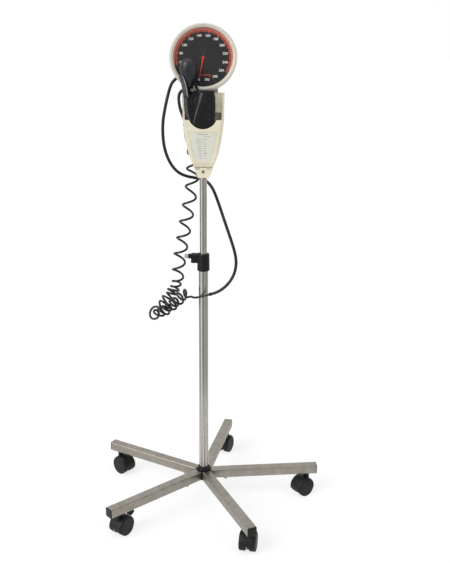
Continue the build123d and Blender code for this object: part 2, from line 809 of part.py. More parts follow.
with BuildPart() as tube_connectors:
    for origin, direction in ((coil_foot, coil_foot_direction), (coil_head, Vector(0, 0, 1))):
        seat = facing(origin, direction, (0, 1, 0))
        turned(seat, [(3.4, 0), (3.4, connector_length)], 10)
        turned(seat, [(4.8, 4), (4.8, 8)], 10)
save(tube_connectors, "tube_connectors")

# Coiled tubing: stations of its axis with the coil's radius and the turns counted so far
coil_stations = [
    ((-48.0, 27.5, 1043.0), 0.0, 0.00),
    ((-45.0, 31.5, 1011.0), 0.0, 0.02),
    ((-36.0, 37.0, 983.0), 5.0, 0.40),
    ((-29.0, 39.8, 959.0), 13.0, 0.95),
    ((-28.0, 39.6, 932.0), 15.5, 1.57),
    ((-39.5, 35.0, 839.0), 15.5, 3.48),
    ((-55.0, 33.0, 754.0), 15.5, 5.40),
    ((-67.0, 35.0, 677.0), 15.5, 7.18),
    ((-70.0, 38.0, 643.0), 14.0, 8.00),
    ((-76.0, 42.0, 617.0), 12.5, 9.20),
    ((-94.0, 45.0, 587.0), 12.5, 11.80),
    ((-117.0, 44.0, 558.0), 13.0, 13.80),
    ((-136.0, 22.0, 543.0), 12.0, 14.80),
    ((-118.0, -1.0, 553.0), 13.0, 15.80),
    ((-95.0, -2.0, 568.0), 12.5, 18.00),
    ((-75.0, 0.0, 583.0), 12.5, 20.10),
    ((-56.0, 2.0, 599.0), 12.5, 22.10),
    ((-42.0, -3.0, 605.0), 9.5, 22.80),
    ((-25.0, -15.0, 604.0), 2.5, 23.05),
    ((-8.0, -26.0, 607.5), 0.0, 23.10),
    ((14.0, -29.0, 614.0), 0.0, 23.10),
]
coil_reference = Vector(0.78, 0.0, -0.62)
coil_knots = [0.0]
for (start, _, _), (end, _, _) in zip(coil_stations, coil_stations[1:]):
    coil_knots.append(coil_knots[-1] + (Vector(*end) - Vector(*start)).length)


def knot_slopes(values, steady):
    """Slope of a track at each station; a steady track never overshoots its stations."""
    gaps = [b - a for a, b in zip(coil_knots, coil_knots[1:])]
    rates = [(b - a) / gap for a, b, gap in zip(values, values[1:], gaps)]
    slopes = [rates[0]]
    for left, right, gap_left, gap_right in zip(rates, rates[1:], gaps, gaps[1:]):
        if not steady:
            slopes.append((left * gap_right + right * gap_left) / (gap_left + gap_right))
        elif left * right <= 0:
            slopes.append(0.0)
        else:
            slopes.append(2 * left * right / (left + right))
    slopes.append(rates[-1])
    return slopes


def make_track(values, steady=False):
    return values, knot_slopes(values, steady)


def on_track(track, place):
    """Value of a track at a distance along the axis, by a cubic between two stations."""
    values, slopes = track
    k = max(i for i in range(len(coil_knots) - 1) if coil_knots[i] <= place)
    gap = coil_knots[k + 1] - coil_knots[k]
    t = (place - coil_knots[k]) / gap
    here = (1 + 2 * t) * (1 - t) ** 2 * values[k] + t * (1 - t) ** 2 * gap * slopes[k]
    return here + t * t * (3 - 2 * t) * values[k + 1] + t * t * (t - 1) * gap * slopes[k + 1]


axis_tracks = [make_track([station[0][n] for station in coil_stations]) for n in range(3)]
radius_track = make_track([station[1] for station in coil_stations], steady=True)
turn_track = make_track([station[2] for station in coil_stations], steady=True)


def axis_at(place):
    return Vector(*[on_track(track, place) for track in axis_tracks])


def coil_at(place):
    """Point of the tube's centre line."""
    place = min(max(place, 0.0), coil_knots[-1])
    ahead = min(place + 0.5, coil_knots[-1])
    behind = max(place - 0.5, 0.0)
    along = (axis_at(ahead) - axis_at(behind)).normalized()
    first = (coil_reference - along * coil_reference.dot(along)).normalized()
    second = along.cross(first)
    angle = 2 * pi * on_track(turn_track, place)
    radius = max(0.0, on_track(radius_track, place))
    return axis_at(place) + first * (radius * cos(angle)) + second * (radius * sin(angle))


def biarc_joint(start, start_way, end, end_way):
    """Point and direction where two arcs join smoothly between two ends."""
    span = end - start
    both = start_way + end_way
    spread = 2 * (1 - start_way.dot(end_way))
    reach = span.dot(both)
    if spread < 1e-6:
        handle = span.length / 2 / max(0.2, both.dot(span.normalized()) / 2)
    else:
        handle = (-reach + sqrt(reach**2 + spread * span.dot(span))) / spread
    near = start + start_way * handle
    far = end - end_way * handle
    return (near + far) * 0.5, (far - near).normalized()


# Step along the axis: half a turn at a time in the coil, 24 mm at most in the leads
places = [0.0, 2 * coil_tube_radius]
coil_length = coil_knots[-1]
place = places[-1]
last_turn = on_track(turn_track, place)
last_place = place
while place < coil_length - 2 * coil_tube_radius - 4:
    place += 0.25
    if on_track(turn_track, place) - last_turn >= 0.5 or place - last_place >= 24:
        places.append(place)
        last_place = place
        last_turn = on_track(turn_track, place)
places += [coil_length - 2 * coil_tube_radius, coil_length]

coil_points = [coil_at(place) for place in places]
coil_ways = [(coil_at(place + 0.3) - coil_at(place - 0.3)).normalized() for place in places]
coil_ways[0] = coil_ways[1] = Vector(0, 0, -1)
coil_points[1] = coil_points[0] + coil_ways[0] * 2 * coil_tube_radius
coil_ways[-1] = coil_ways[-2] = coil_foot_direction
coil_points[-2] = coil_points[-1] - coil_foot_direction * 2 * coil_tube_radius

with BuildPart() as coiled_tube:
    with BuildLine() as coil_route:
        Line(coil_points[0], coil_points[1])
        pairs = list(zip(coil_points, coil_ways))[1:-1]
        for (start, start_way), (end, end_way) in zip(pairs, pairs[1:]):
            joint, joint_way = biarc_joint(start, start_way, end, end_way)
            TangentArc(start, joint, tangent=start_way)
            TangentArc(joint, end, tangent=joint_way)
        Line(coil_points[-2], coil_points[-1])
    with BuildSketch(facing(coil_points[0], coil_ways[0], (0, 1, 0))):
        RegularPolygon(coil_tube_radius, 6)
    sweep(clean=False)
    route_wire = coil_route.wire()
coil_run = route_wire.length
print("coiled_tube length", round(coil_run, 1), "loops", coil_stations[-1][2])
hexagon = 1.5 * sqrt(3) * coil_tube_radius**2
print("coiled_tube volume over section times length", round(coiled_tube.part.volume / (hexagon * coil_run), 4))
save(coiled_tube, "coiled_tube")

# Least gap of the coiled tube to itself, and its tightest arc, measured on points 2 mm apart
arc_radii = [edge.radius for edge in coil_route.edges() if edge.geom_type == GeomType.CIRCLE]
print("coiled_tube least arc radius", round(min(arc_radii), 1))
count = int(coil_run / 2)
centre_line = [route_wire.position_at(k / count) for k in range(count + 1)]
skip = 12
least = min(
    (centre_line[i] - centre_line[j]).length
    for i in range(0, count + 1)
    for j in range(i + skip, min(count + 1, i + 90))
)
far_least = min(
    (centre_line[i] - centre_line[j]).length
    for i in range(0, count + 1, 2)
    for j in range(i + 90, count + 1, 2)
)
print("coiled_tube least gap to itself", round(min(least, far_least) - 2 * coil_tube_radius, 2))
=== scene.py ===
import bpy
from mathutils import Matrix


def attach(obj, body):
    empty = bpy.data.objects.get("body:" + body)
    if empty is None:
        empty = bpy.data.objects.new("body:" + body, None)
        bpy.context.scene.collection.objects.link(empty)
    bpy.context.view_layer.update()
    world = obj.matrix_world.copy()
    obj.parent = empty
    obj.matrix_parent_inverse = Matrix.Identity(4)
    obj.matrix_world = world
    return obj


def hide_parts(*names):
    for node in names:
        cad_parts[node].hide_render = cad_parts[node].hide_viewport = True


bl_info = {
    "name": "Dial gauge on a rolling stand",
    "version": (1, 0, 0),
    "blender": (4, 5, 0),
    "location": "View3D > Sidebar > Gauge stand",
    "description": "Dresses an aneroid blood pressure gauge on its five-arm rolling stand",
    "category": "Object",
}

from math import cos, exp, pi, radians, sin

import bmesh
import bpy
from bpy.props import FloatProperty, FloatVectorProperty, IntProperty, PointerProperty
from mathutils import Matrix, Vector, noise
from mathutils.bvhtree import BVHTree

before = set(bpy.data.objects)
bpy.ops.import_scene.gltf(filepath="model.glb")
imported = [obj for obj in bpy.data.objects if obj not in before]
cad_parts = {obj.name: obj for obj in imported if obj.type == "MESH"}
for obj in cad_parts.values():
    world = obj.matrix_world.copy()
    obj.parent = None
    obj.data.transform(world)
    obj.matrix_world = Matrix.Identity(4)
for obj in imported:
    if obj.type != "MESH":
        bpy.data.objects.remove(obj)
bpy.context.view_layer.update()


def mm(x, y, z):
    """Point in metres from millimetres."""
    return Vector((x, y, z)) / 1000


def hex_colour(code):
    """Linear colour of an sRGB hex value."""
    shares = [int(code[k : k + 2], 16) / 255 for k in (0, 2, 4)]
    return [c / 12.92 if c <= 0.04045 else ((c + 0.055) / 1.055) ** 2.4 for c in shares]


# Shared sizes, in millimetres, from the model's own values
ARM_COUNT = 5
ARM_TURN = 6
ARM_SIDE = 25
ARM_BOTTOM = 63.5
ARM_MID = ARM_BOTTOM + ARM_SIDE / 2
ARM_TOP = ARM_BOTTOM + ARM_SIDE
BOLT_REACH = 62
STEM_REACH = 295
TRAIL = 14
AXLE_HEIGHT = 25
CASTER_HEADINGS = [-144, 245, -41, 55, 80]
# Arc of the hood over the wheels, in degrees, and the faces along it
HOOD_START, HOOD_END, HOOD_STEPS = -11.9, 191.9, 36
BULB_AXIS = (-35, -28, 0)
KNOB_HEIGHT = 711
GAUGE_TILT = radians(17)
DIAL_PLACE = Matrix(
    (
        (1, 0, 0, 0),
        (0, sin(GAUGE_TILT), -cos(GAUGE_TILT), 0.015),
        (0, cos(GAUGE_TILT), sin(GAUGE_TILT), 1.214),
        (0, 0, 0, 1),
    )
)
FULL_SCALE = 300
SCALE_START = 170
# Angles where the orange band starts and ends, and over which it narrows
BAND_RANGE = (-122, 138, 30)
BAND_EDGE, BAND_FACE = 76.2, 0.06
# Front of the card, and of the print on it
CARD_FACE, PRINT_FACE = -19.15, -19.2
CAMERA_PLACE = (76.7, -2121.3, 1275.8)
CAMERA_PAN, CAMERA_TILT, CAMERA_ROLL = 0.531, -16.634, 0.307
WHITE = (1, 1, 1, 1)
# Strength of the room as shiny surfaces see it
MIRRORED_STRENGTH = 2.6


# Node and material helpers
def add_node(tree, kind, inputs=None, **settings):
    """Add a shader node with its settings and inputs."""
    node = tree.nodes.new("ShaderNode" + kind)
    for name, value in settings.items():
        setattr(node, name, value)
    feed(tree, node, inputs or {})
    return node


def feed(tree, node, inputs):
    """Give each input of a node a value or a link from a socket."""
    for name, value in inputs.items():
        if isinstance(value, bpy.types.NodeSocket):
            tree.links.new(value, node.inputs[name])
        else:
            node.inputs[name].default_value = value


def empty_tree(owner):
    """Node tree of a material or a world, with nothing in it."""
    owner.use_nodes = True
    owner.node_tree.nodes.clear()
    return owner.node_tree


def new_material(name, **surface):
    """Material with a Principled shader; surface gives the sockets that are the same all over."""
    material = bpy.data.materials.new(name)
    tree = empty_tree(material)
    shader = add_node(tree, "BsdfPrincipled", {key.replace("_", " "): value for key, value in surface.items()})
    add_node(tree, "OutputMaterial", {"Surface": shader.outputs["BSDF"]})
    return material, tree, shader, add_node(tree, "TexCoord").outputs["Object"]


def calculate(tree, operation, *values):
    return add_node(tree, "Math", dict(enumerate(values)), operation=operation).outputs[0]


def mix_colours(tree, share, first, second, **settings):
    return add_node(tree, "Mix", {0: share, 6: first, 7: second}, data_type="RGBA", **settings).outputs[2]


def mix_shaders(tree, share, first, second):
    return add_node(tree, "MixShader", {0: share, 1: first, 2: second}).outputs[0]


def glow(tree, kind, colour, strength):
    """Emission or Background of a colour."""
    return add_node(tree, kind, {"Color": colour, "Strength": strength}).outputs[0]


def shown_rays(tree, *kinds):
    """Socket that is 1 for these kinds of ray and 0 for others."""
    rays = add_node(tree, "LightPath")
    found = rays.outputs[kinds[0]]
    for kind in kinds[1:]:
        found = calculate(tree, "MAXIMUM", found, rays.outputs[kind])
    return found


def ramp(tree, value, stops):
    """Colours over a value; each stop is a place and a grey level or a colour."""
    node = add_node(tree, "ValToRGB", {"Fac": value})
    elements = node.color_ramp.elements
    elements[1].position = stops[-1][0]
    elements[0].position = stops[0][0]
    for place, _ in stops[1:-1]:
        elements.new(place)
    for element, (_, tone) in zip(elements, stops):
        element.color = (tone, tone, tone, 1.0) if isinstance(tone, float) else tone
    return node.outputs["Color"]


def spread(tree, value, low, high, first=0.0, last=1.0):
    """Value between low and high spread from first to last."""
    inputs = {"Value": value, "From Min": low, "From Max": high, "To Min": first, "To Max": last}
    return add_node(tree, "MapRange", inputs).outputs["Result"]


def speckle(tree, place, size, detail, rough, distortion=0.0):
    """Noise with marks of a size in millimetres."""
    inputs = {"Vector": place, "Scale": per_mm(size), "Detail": detail, "Roughness": rough}
    return add_node(tree, "TexNoise", {**inputs, "Distortion": distortion}).outputs["Fac"]


def bumps(tree, height, strength, depth):
    """Relief of a depth in millimetres."""
    inputs = {"Height": height, "Strength": strength, "Distance": depth / 1000}
    return add_node(tree, "Bump", inputs).outputs["Normal"]


def per_mm(size):
    """Scale of a pattern whose marks are this many millimetres, on coordinates in metres."""
    return 1000.0 / size


def shade(colour, share):
    """Colour or sRGB hex value made darker or lighter by a share, with full alpha."""
    colour = hex_colour(colour) if isinstance(colour, str) else colour[:3]
    return [min(1.0, c * share) for c in colour] + [1.0]


def brushed_steel(name, colour, along, rough, cloud, relief=0.25):
    """Plated steel tube, brushed along its length: fine scratches along it, and dull
    clouded patches where handling has worn the shine."""
    material, tree, shader, place = new_material(name, Metallic=1.0)
    stretch = [1.0, 1.0, 1.0]
    stretch[along] = 0.03
    drawn = add_node(tree, "Mapping", {"Vector": place, "Scale": stretch}).outputs["Vector"]
    scratch = speckle(tree, drawn, 1.4, 4.0, 0.7)
    clouds = speckle(tree, place, 20.0, 6.0, 0.66, 0.8)
    specks = speckle(tree, place, 3.2, 3.0, 0.7)
    patch = add_node(tree, "Mix", {0: 0.5, 2: clouds, 3: specks}, data_type="FLOAT").outputs[0]
    tones = ramp(tree, patch, [(0.41, shade(colour, 1.0 - cloud)), (0.58, shade(colour, 1.0 + cloud * 0.5))])
    surface = {
        "Base Color": mix_colours(tree, scratch, tones, shade(colour, 0.86)),
        "Roughness": spread(tree, patch, 0.3, 0.7, rough + 0.1, rough - 0.08),
        "Normal": bumps(tree, scratch, relief, 0.08),
    }
    feed(tree, shader, surface)
    return material


def moulded(name, colour, rough, grain, depth, drift=0.12, **surface):
    """Moulded plastic or rubber: spark-eroded grain of a given size, a slow drift of shade,
    and rubbed, slightly glossier patches."""
    material, tree, shader, place = new_material(name, **surface)
    slow = speckle(tree, place, 38.0, 4.0, 0.6)
    fine = speckle(tree, place, grain, 3.0, 0.6)
    surface = {
        "Base Color": ramp(tree, slow, [(0.32, shade(colour, 1.0 - drift)), (0.7, shade(colour, 1.0 + drift))]),
        "Roughness": spread(tree, slow, 0.3, 0.7, rough + 0.06, rough - 0.06),
        "Normal": bumps(tree, fine, 0.3, depth),
    }
    feed(tree, shader, surface)
    return material


def woven_nylon(name, colour):
    """Coated nylon cloth of the cuff: plain weave drawn at 1.1 mm, coarser than its real
    0.3 mm so that it shows, with a soft sheen where the folds turn."""
    material, tree, shader, place = new_material(
        name, Sheen_Weight=0.14, Sheen_Roughness=0.45, Sheen_Tint=(0.80, 0.78, 0.86, 1.0), Specular_IOR_Level=0.35
    )
    marks = {"Vector": place, "Scale": per_mm(1.1) / (2 * pi)}
    marks.update({"Distortion": 0.4, "Detail": 1.0, "Detail Scale": 2.0})
    threads = [add_node(tree, "TexWave", marks, bands_direction=way).outputs["Fac"] for way in ("X", "Z")]
    weave = calculate(tree, "MULTIPLY", *threads)
    slow = speckle(tree, place, 30.0, 4.0, 0.6)
    tones = ramp(tree, slow, [(0.35, shade(colour, 0.78)), (0.7, shade(colour, 1.3))])
    surface = {
        "Base Color": mix_colours(tree, weave, tones, shade(colour, 1.25)),
        "Roughness": spread(tree, weave, 0.0, 1.0, 0.52, 0.4),
        "Normal": bumps(tree, weave, 0.35, 0.15),
    }
    feed(tree, shader, surface)
    return material


def printed_ink(name, colour, rough=0.42):
    """Screen-printed ink: flat colour with the faint mottle of a screened film."""
    material, tree, shader, place = new_material(name, Roughness=rough)
    mottle = speckle(tree, place, 2.2, 2.0, 0.5)
    tones = ramp(tree, mottle, [(0.0, shade(colour, 0.93)), (1.0, shade(colour, 1.05))])
    feed(tree, shader, {"Base Color": tones, "Normal": bumps(tree, mottle, 0.08, 0.02)})
    return material


def acrylic_window(name):
    """Clear acrylic: see-through, a little dark at its edge, with a sharp reflection."""
    return new_material(name, Base_Color=(0.03, 0.03, 0.032, 1.0), Roughness=0.05, IOR=1.49, Alpha=0.06)[0]


FINISHES = {}


def make_finishes(tints):
    """One material for each real material of the stand."""
    FINISHES.update(
        # Nickel-plated square tube: warm grey, brushed lengthwise, clouded by years of handling
        arm_nickel=brushed_steel("nickel_plated_tube", tints.arm_colour, 0, 0.46, 0.3),
        # Stainless pole tube: brighter, drawn finish with long vertical lines
        pole_stainless=brushed_steel("stainless_pole_tube", tints.pole_colour, 2, 0.2, 0.12, relief=0.04),
        # Zinc-plated small fasteners
        zinc_screw=brushed_steel("zinc_plated_steel", "A9ABAC", 2, 0.34, 0.1),
        # Nickel-plated brass fittings: smoother and brighter than the tubes
        nickel_fitting=brushed_steel("nickel_plated_brass", "8E8F8D", 2, 0.3, 0.06),
        # Brass of the movement
        clock_brass=brushed_steel("movement_brass", "C9A25A", 0, 0.3, 0.08),
        # Grey paint on the bracket plate
        bracket_paint=moulded("grey_bracket_paint", "A8AAA9", 0.5, 1.2, 0.02),
        # Glass-filled nylon: black, fine even grain
        nylon_black=moulded("black_moulded_nylon", tints.plastic_colour, 0.5, 0.8, 0.05, Specular_IOR_Level=0.32),
        # Wheel tyre: hard urethane, duller, greyed by dust
        wheel_urethane=moulded(
            "black_urethane_wheel", "151516", 0.55, 1.5, 0.06, drift=0.3, Specular_IOR_Level=0.3
        ),
        # Acetal tip of the knob: grey and waxy
        acetal_grey=moulded("grey_acetal", "A9ABAA", 0.4, 0.9, 0.02),
        # Acetal bush between the poles: pale and waxy
        acetal_natural=moulded("natural_acetal", "DAD8CE", 0.42, 0.9, 0.02),
        # ABS holder: cream, satin, slightly yellowed in places
        abs_cream=moulded("cream_abs", tints.holder_colour, 0.4, 0.9, 0.03, drift=0.05),
        # ABS gauge case: warm pale grey
        abs_grey=moulded("warm_grey_abs", tints.gauge_colour, 0.36, 0.9, 0.02, drift=0.04),
        # Laminated paper card
        card=moulded("laminated_card", "D8D8CD", 0.3, 2.5, 0.01, drift=0.04),
        # Bulb: soft black rubber with a grey bloom
        bulb_rubber=moulded("black_bulb_rubber", "252429", 0.4, 1.1, 0.05, drift=0.2),
        # Plain tube: extruded rubber
        tube_rubber=moulded("black_tube_rubber", "161718", 0.42, 1.6, 0.04, drift=0.15),
        # Coiled tube: urethane, smoother and a little glossier
        coil_urethane=moulded("black_coil_urethane", "141415", 0.34, 1.6, 0.02, drift=0.12),
        # Cuff: coated nylon cloth
        cuff_cloth=woven_nylon("black_nylon_cloth", tints.cuff_colour),
        # Edge tape and webbing of the cuff: smoother and greyer than its cloth; on the flap's and the roll's
        # edges this paler grey is also a painted highlight
        edge_tape=woven_nylon("grey_black_nylon_tape_and_painted_highlight", "48474D"),
        # Binding of the cuff's corner and of the strap: a real binding, painted pale as the bright highlight
        # lines along these edges
        binding_pale=woven_nylon("pale_nylon_binding_and_painted_highlight", "8E8E8B"),
        # Thread of the stitches: a little paler than the cloth
        thread_grey=moulded("dark_polyester_thread", "4A4A4E", 0.6, 0.6, 0.05),
        # Dial plate and inks
        dial_black=printed_ink("matt_black_dial_ink", "1D1C1D", 0.55),
        ink_white=printed_ink("white_ink", "F4F3EE"),
        ink_orange=printed_ink("orange_red_ink", tints.orange_colour),
        ink_dark=printed_ink("dark_ink", "4B4E52"),
        # Pointer: bent brass strip, lacquered orange-red
        pointer_lacquer=printed_ink("orange_lacquer", "EA4A26", 0.34),
        # Window over the dial
        window=acrylic_window("clear_acrylic"),
    )


# Mesh helpers; profiles and outlines are in millimetres
def rounded(points, radius, steps=4, closed=True):
    """Outline of 2-D points with its corners rounded."""
    points = [Vector(p) for p in points]
    made = []
    for k, corner in enumerate(points):
        if not closed and k in (0, len(points) - 1):
            made.append(corner)
            continue
        before = points[k - 1] - corner
        after = points[(k + 1) % len(points)] - corner
        cut = min(radius, before.length * 0.45, after.length * 0.45)
        start = corner + before.normalized() * cut
        end = corner + after.normalized() * cut
        for n in range(steps + 1):
            t = n / steps
            made.append(start * (1 - t) ** 2 + corner * 2 * t * (1 - t) + end * t**2)
    return made


def rectangle(left, right, low, high):
    return [(left, low), (right, low), (right, high), (left, high)]


def at(x, y, z):
    """Placement that only moves."""
    return Matrix.Translation(Vector((x, y, z)))


def skin(mesh, loops, closed=False, slot=0):
    """Faces between loops of points in millimetres, joined in their order, with both ends
    filled unless the last loop is joined to the first."""
    rows = [[mesh.verts.new(Vector(p) / 1000) for p in loop] for loop in loops]
    for low, high in zip(rows, rows[1:] + rows[: 1 if closed else 0]):
        for k in range(len(low)):
            mesh.faces.new((low[k - 1], low[k], high[k], high[k - 1])).material_index = slot
    if not closed:
        mesh.faces.new(rows[0][::-1]).material_index = slot
        mesh.faces.new(rows[-1]).material_index = slot


def slab(mesh, outline, heights, slot=0, place=None):
    """Outline drawn out between two heights along the Z axis of a placement."""
    place = place or Matrix()
    skin(mesh, [[place @ Vector((x, y, h)) for x, y in outline] for h in heights], slot=slot)


def turn(mesh, profile, steps=64, closed=True, slot=0, place=None, flutes=0, flute_depth=0.0):
    """Turn a profile of (radius, height) about the Z axis; flutes are shallow grooves round it."""
    place = place or Matrix()
    loops = []
    for radius, height in profile:
        loop = []
        for k in range(steps):
            angle = 2 * pi * k / steps
            grip = radius - flute_depth * (0.5 + 0.5 * cos(flutes * angle)) if flutes else radius
            loop.append(place @ Vector((grip * cos(angle), grip * sin(angle), height)))
        loops.append(loop)
    skin(mesh, loops, closed=closed, slot=slot)


def link_object(name, data):
    """New object of the data, in the scene."""
    made = bpy.data.objects.new(name, data)
    bpy.context.scene.collection.objects.link(made)
    return made


def finish_piece(name, mesh, finishes, body, replaces=(), slot=None, place=None, sharp=32):
    """Object from the mesh, smooth but for edges sharper than an angle, on its body."""
    bmesh.ops.recalc_face_normals(mesh, faces=mesh.faces)
    data = bpy.data.meshes.new(name)
    mesh.to_mesh(data)
    mesh.free()
    data.shade_smooth()
    data.set_sharp_from_angle(angle=radians(sharp))
    for finish in finishes:
        data.materials.append(FINISHES[finish])
    piece = link_object(name, data)
    piece.matrix_world = place or Matrix()
    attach(piece, body)
    if replaces:
        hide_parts(*replaces)
    return piece


def turned_piece(name, profile, steps, closed, finish, body, node, slot, foot=(0, 0, 0), **more):
    """Piece turned from one profile about an upright axis through its foot."""
    mesh = bmesh.new()
    turn(mesh, profile, steps, closed, place=at(*foot))
    return finish_piece(name, mesh, [finish], body, [node], slot, **more)


def apply_modifiers(piece):
    """Keep what the modifiers make as the piece's own mesh."""
    shape = piece.evaluated_get(bpy.context.evaluated_depsgraph_get())
    made = bpy.data.meshes.new_from_object(shape)
    piece.modifiers.clear()
    piece.data = made


def subdivided(piece):
    """The piece's mesh with each face in four, smoothed."""
    smooth = piece.modifiers.new("Smooth", "SUBSURF")
    smooth.levels = smooth.render_levels = 1
    apply_modifiers(piece)


def dress_node(node, finish, edge=0.0, sharp=32):
    """Better finish for a CAD node, with its edges rounded in millimetres."""
    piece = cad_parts[node]
    materials = piece.data.materials
    if not len(materials):
        materials.append(None)
    for k in range(len(materials)):
        materials[k] = FINISHES[finish]
    if edge:
        weld = piece.modifiers.new("Weld", "WELD")
        weld.merge_threshold = 0.00002
        bevel = piece.modifiers.new("Edge", "BEVEL")
        bevel.width = edge / 1000
        bevel.segments = 3
        bevel.limit_method = "ANGLE"
        bevel.angle_limit = radians(sharp)
        bevel.harden_normals = True


def look_along(origin, direction, across=(0, 0, 1)):
    """Placement in millimetres with Z along a direction."""
    out = Vector(direction).normalized()
    side = Vector(across).cross(out).normalized()
    place = Matrix((side, out.cross(side), out)).transposed().to_4x4()
    place.translation = origin
    return place


def arm_turned(index):
    """Turn about the pole to an arm."""
    return Matrix.Rotation(radians(ARM_TURN + index * 360 / ARM_COUNT), 4, "Z")


# Settings a user would change
def size_setting(label, about, size):
    return FloatProperty(name=label, description=about, default=size, unit="LENGTH")


def light_setting(label, about, strength):
    return FloatProperty(name=label, description=about, default=strength, min=0.0)


def colour_setting(label, about, code):
    return FloatVectorProperty(name=label, description=about, default=hex_colour(code), subtype="COLOR")


class TubeSettings(bpy.types.PropertyGroup):
    """Sizes of the tubing."""

    tube_diameter: size_setting("Plain tube", "Outside diameter of the plain rubber tube", 0.008)
    coil_diameter: size_setting("Coiled tube", "Outside diameter of the coiled tube", 0.006)
    points_per_turn: IntProperty(
        name="Points per turn", description="Route points in each turn of the coil", default=16, min=12
    )


class FinishSettings(bpy.types.PropertyGroup):
    """Colours of the finishes."""

    arm_colour: colour_setting("Arms", "Nickel of the base arms", "A9A39A")
    pole_colour: colour_setting("Pole", "Steel of the pole tubes", "C2BFB8")
    plastic_colour: colour_setting("Black plastic", "Hub, collar, caps and casters", "101011")
    holder_colour: colour_setting("Holder", "Cream plastic of the holder", "E4DCC2")
    gauge_colour: colour_setting("Gauge case", "Warm grey plastic of the gauge", "D3CCBF")
    cuff_colour: colour_setting("Cuff", "Nylon cloth of the cuff", "0B0A0D")
    orange_colour: colour_setting("Scale band", "Orange-red band round the dial", "F57252")


class StageSettings(bpy.types.PropertyGroup):
    """Camera and light of the studio."""

    focal_length: FloatProperty(
        name="Lens", description="Focal length of the camera on a 36 mm sensor", default=53.495, unit="CAMERA"
    )
    sky_strength: light_setting("Room light", "Strength of the even light of the room", 0.5)
    key_power: light_setting("Key light", "Strength of the broad light from the front left", 1.75)


# Routes, in millimetres, close to the model's own
PORT_TIP = Vector((-64.71, 20.93, 1164.83))
PORT_DIRECTION = Vector((-0.81915, -0.16770, -0.54851))
COIL_FOOT = Vector((14, -29, 614))
COIL_FOOT_DIRECTION = Vector((0.94, -0.08, 0.30)).normalized()
CONNECTOR_LENGTH = 12
TUBE_FOOT = COIL_FOOT + COIL_FOOT_DIRECTION * CONNECTOR_LENGTH
COIL_HEAD = Vector((-48, 27.5, 1043))
GAUGE_TUBE_ROUTE = [
    PORT_TIP, PORT_TIP + PORT_DIRECTION * 9, (-79.5, 17.2, 1150.5), (-85, 14.8, 1135),
    (-90, 12, 1116), (-95.5, 9, 1092), (-101, 6.7, 1062), (-102.5, 7, 1030), (-100, 10, 997),
    (-93, 20, 967.5), (-81.5, 36, 941), (-66, 51, 921.5), (-44.5, 61.5, 910.5), (-19, 63, 906.5),
    (6, 53, 902.5), (22.5, 39, 886), (34.5, 27, 860), (46.5, 16, 827), (60, 5, 789.5), (79.5, -13, 737),
    (87, -19, 704), (83.5, -23, 674), (70.5, -26.5, 649), (53, -29.6, 631.5),
    TUBE_FOOT + COIL_FOOT_DIRECTION * 11, TUBE_FOOT,
]
INLET_DIRECTION = Vector((-0.66, 0.72, -0.2)).normalized()
INLET_TIP = Vector((-35, -28, 1141)) + INLET_DIRECTION * 10
CUFF_TUBE_ROUTE = [
    (-48, 27.5, 1055), (-49.5, 27.5, 1064.5), (-55, 27.3, 1077), (-59.2, 25.4, 1090.5), (-61, 20.7, 1103.5),
    (-61.2, 13, 1114.5), (-60, 3.8, 1124), (-55.8, -5, 1132), INLET_TIP + INLET_DIRECTION * 12, INLET_TIP,
]
# Stations of the coil's axis, with the coil's radius and the turns counted so far
COIL_STATIONS = [
    ((-48, 27.5, 1043), 0, 0), ((-45, 31.5, 1011), 0, 0.02), ((-36, 37, 983), 5, 0.40),
    ((-29, 39.8, 959), 13, 0.95), ((-28, 39.6, 932), 15.5, 1.57), ((-39.5, 35, 839), 15.5, 3.48),
    ((-55, 33, 754), 15.5, 5.40), ((-67, 35, 677), 15.5, 7.18), ((-70, 38, 643), 14, 8),
    ((-76, 42, 617), 11, 9.20), ((-84.5, 44, 602), 14, 10.50), ((-94, 45, 587), 10, 11.80),
    ((-105, 46, 573), 14.5, 12.75), ((-117, 44, 558), 10.5, 13.80), ((-136, 22, 543), 13, 14.80),
    ((-118, -1, 553), 10.5, 15.80), ((-106, -2, 560.5), 14.5, 16.90), ((-95, -2, 568), 10, 18),
    ((-85, -1, 575.5), 14.5, 19.05), ((-75, 0, 583), 10.5, 20.10), ((-65, 1, 593), 14.5, 21.10),
    ((-54, 2, 604), 12.5, 22.10), ((-42, -3, 607.5), 9.5, 22.80), ((-25, -15, 601.5), 2.5, 23.05),
    ((-8, -26, 607.5), 0, 23.10), ((14, -29, 614), 0, 23.10),
]
COIL_REFERENCE = Vector((0.78, 0, -0.62))
# The turns of the bunch lean along the axis by this much, in millimetres, at their usual radius,
# between these counts of turns
COIL_LEAN = 5.0
BUNCH_RADIUS = 12.5
BUNCH_TURNS = (8.0, 22.9)
# Steps along the coil's axis: the finest, and the widest between two points of the route
FINE_STEP, WIDE_STEP = 0.1, 14


def track_slopes(knots, values, steady):
    """Slope at each station; a steady track never overshoots its stations."""
    gaps = [b - a for a, b in zip(knots, knots[1:])]
    rates = [(b - a) / gap for a, b, gap in zip(values, values[1:], gaps)]
    slopes = [rates[0]]
    for left, right, gap_left, gap_right in zip(rates, rates[1:], gaps, gaps[1:]):
        if not steady:
            slopes.append((left * gap_right + right * gap_left) / (gap_left + gap_right))
        else:
            slopes.append(2 * left * right / (left + right) if left * right > 0 else 0.0)
    return slopes + [rates[-1]]


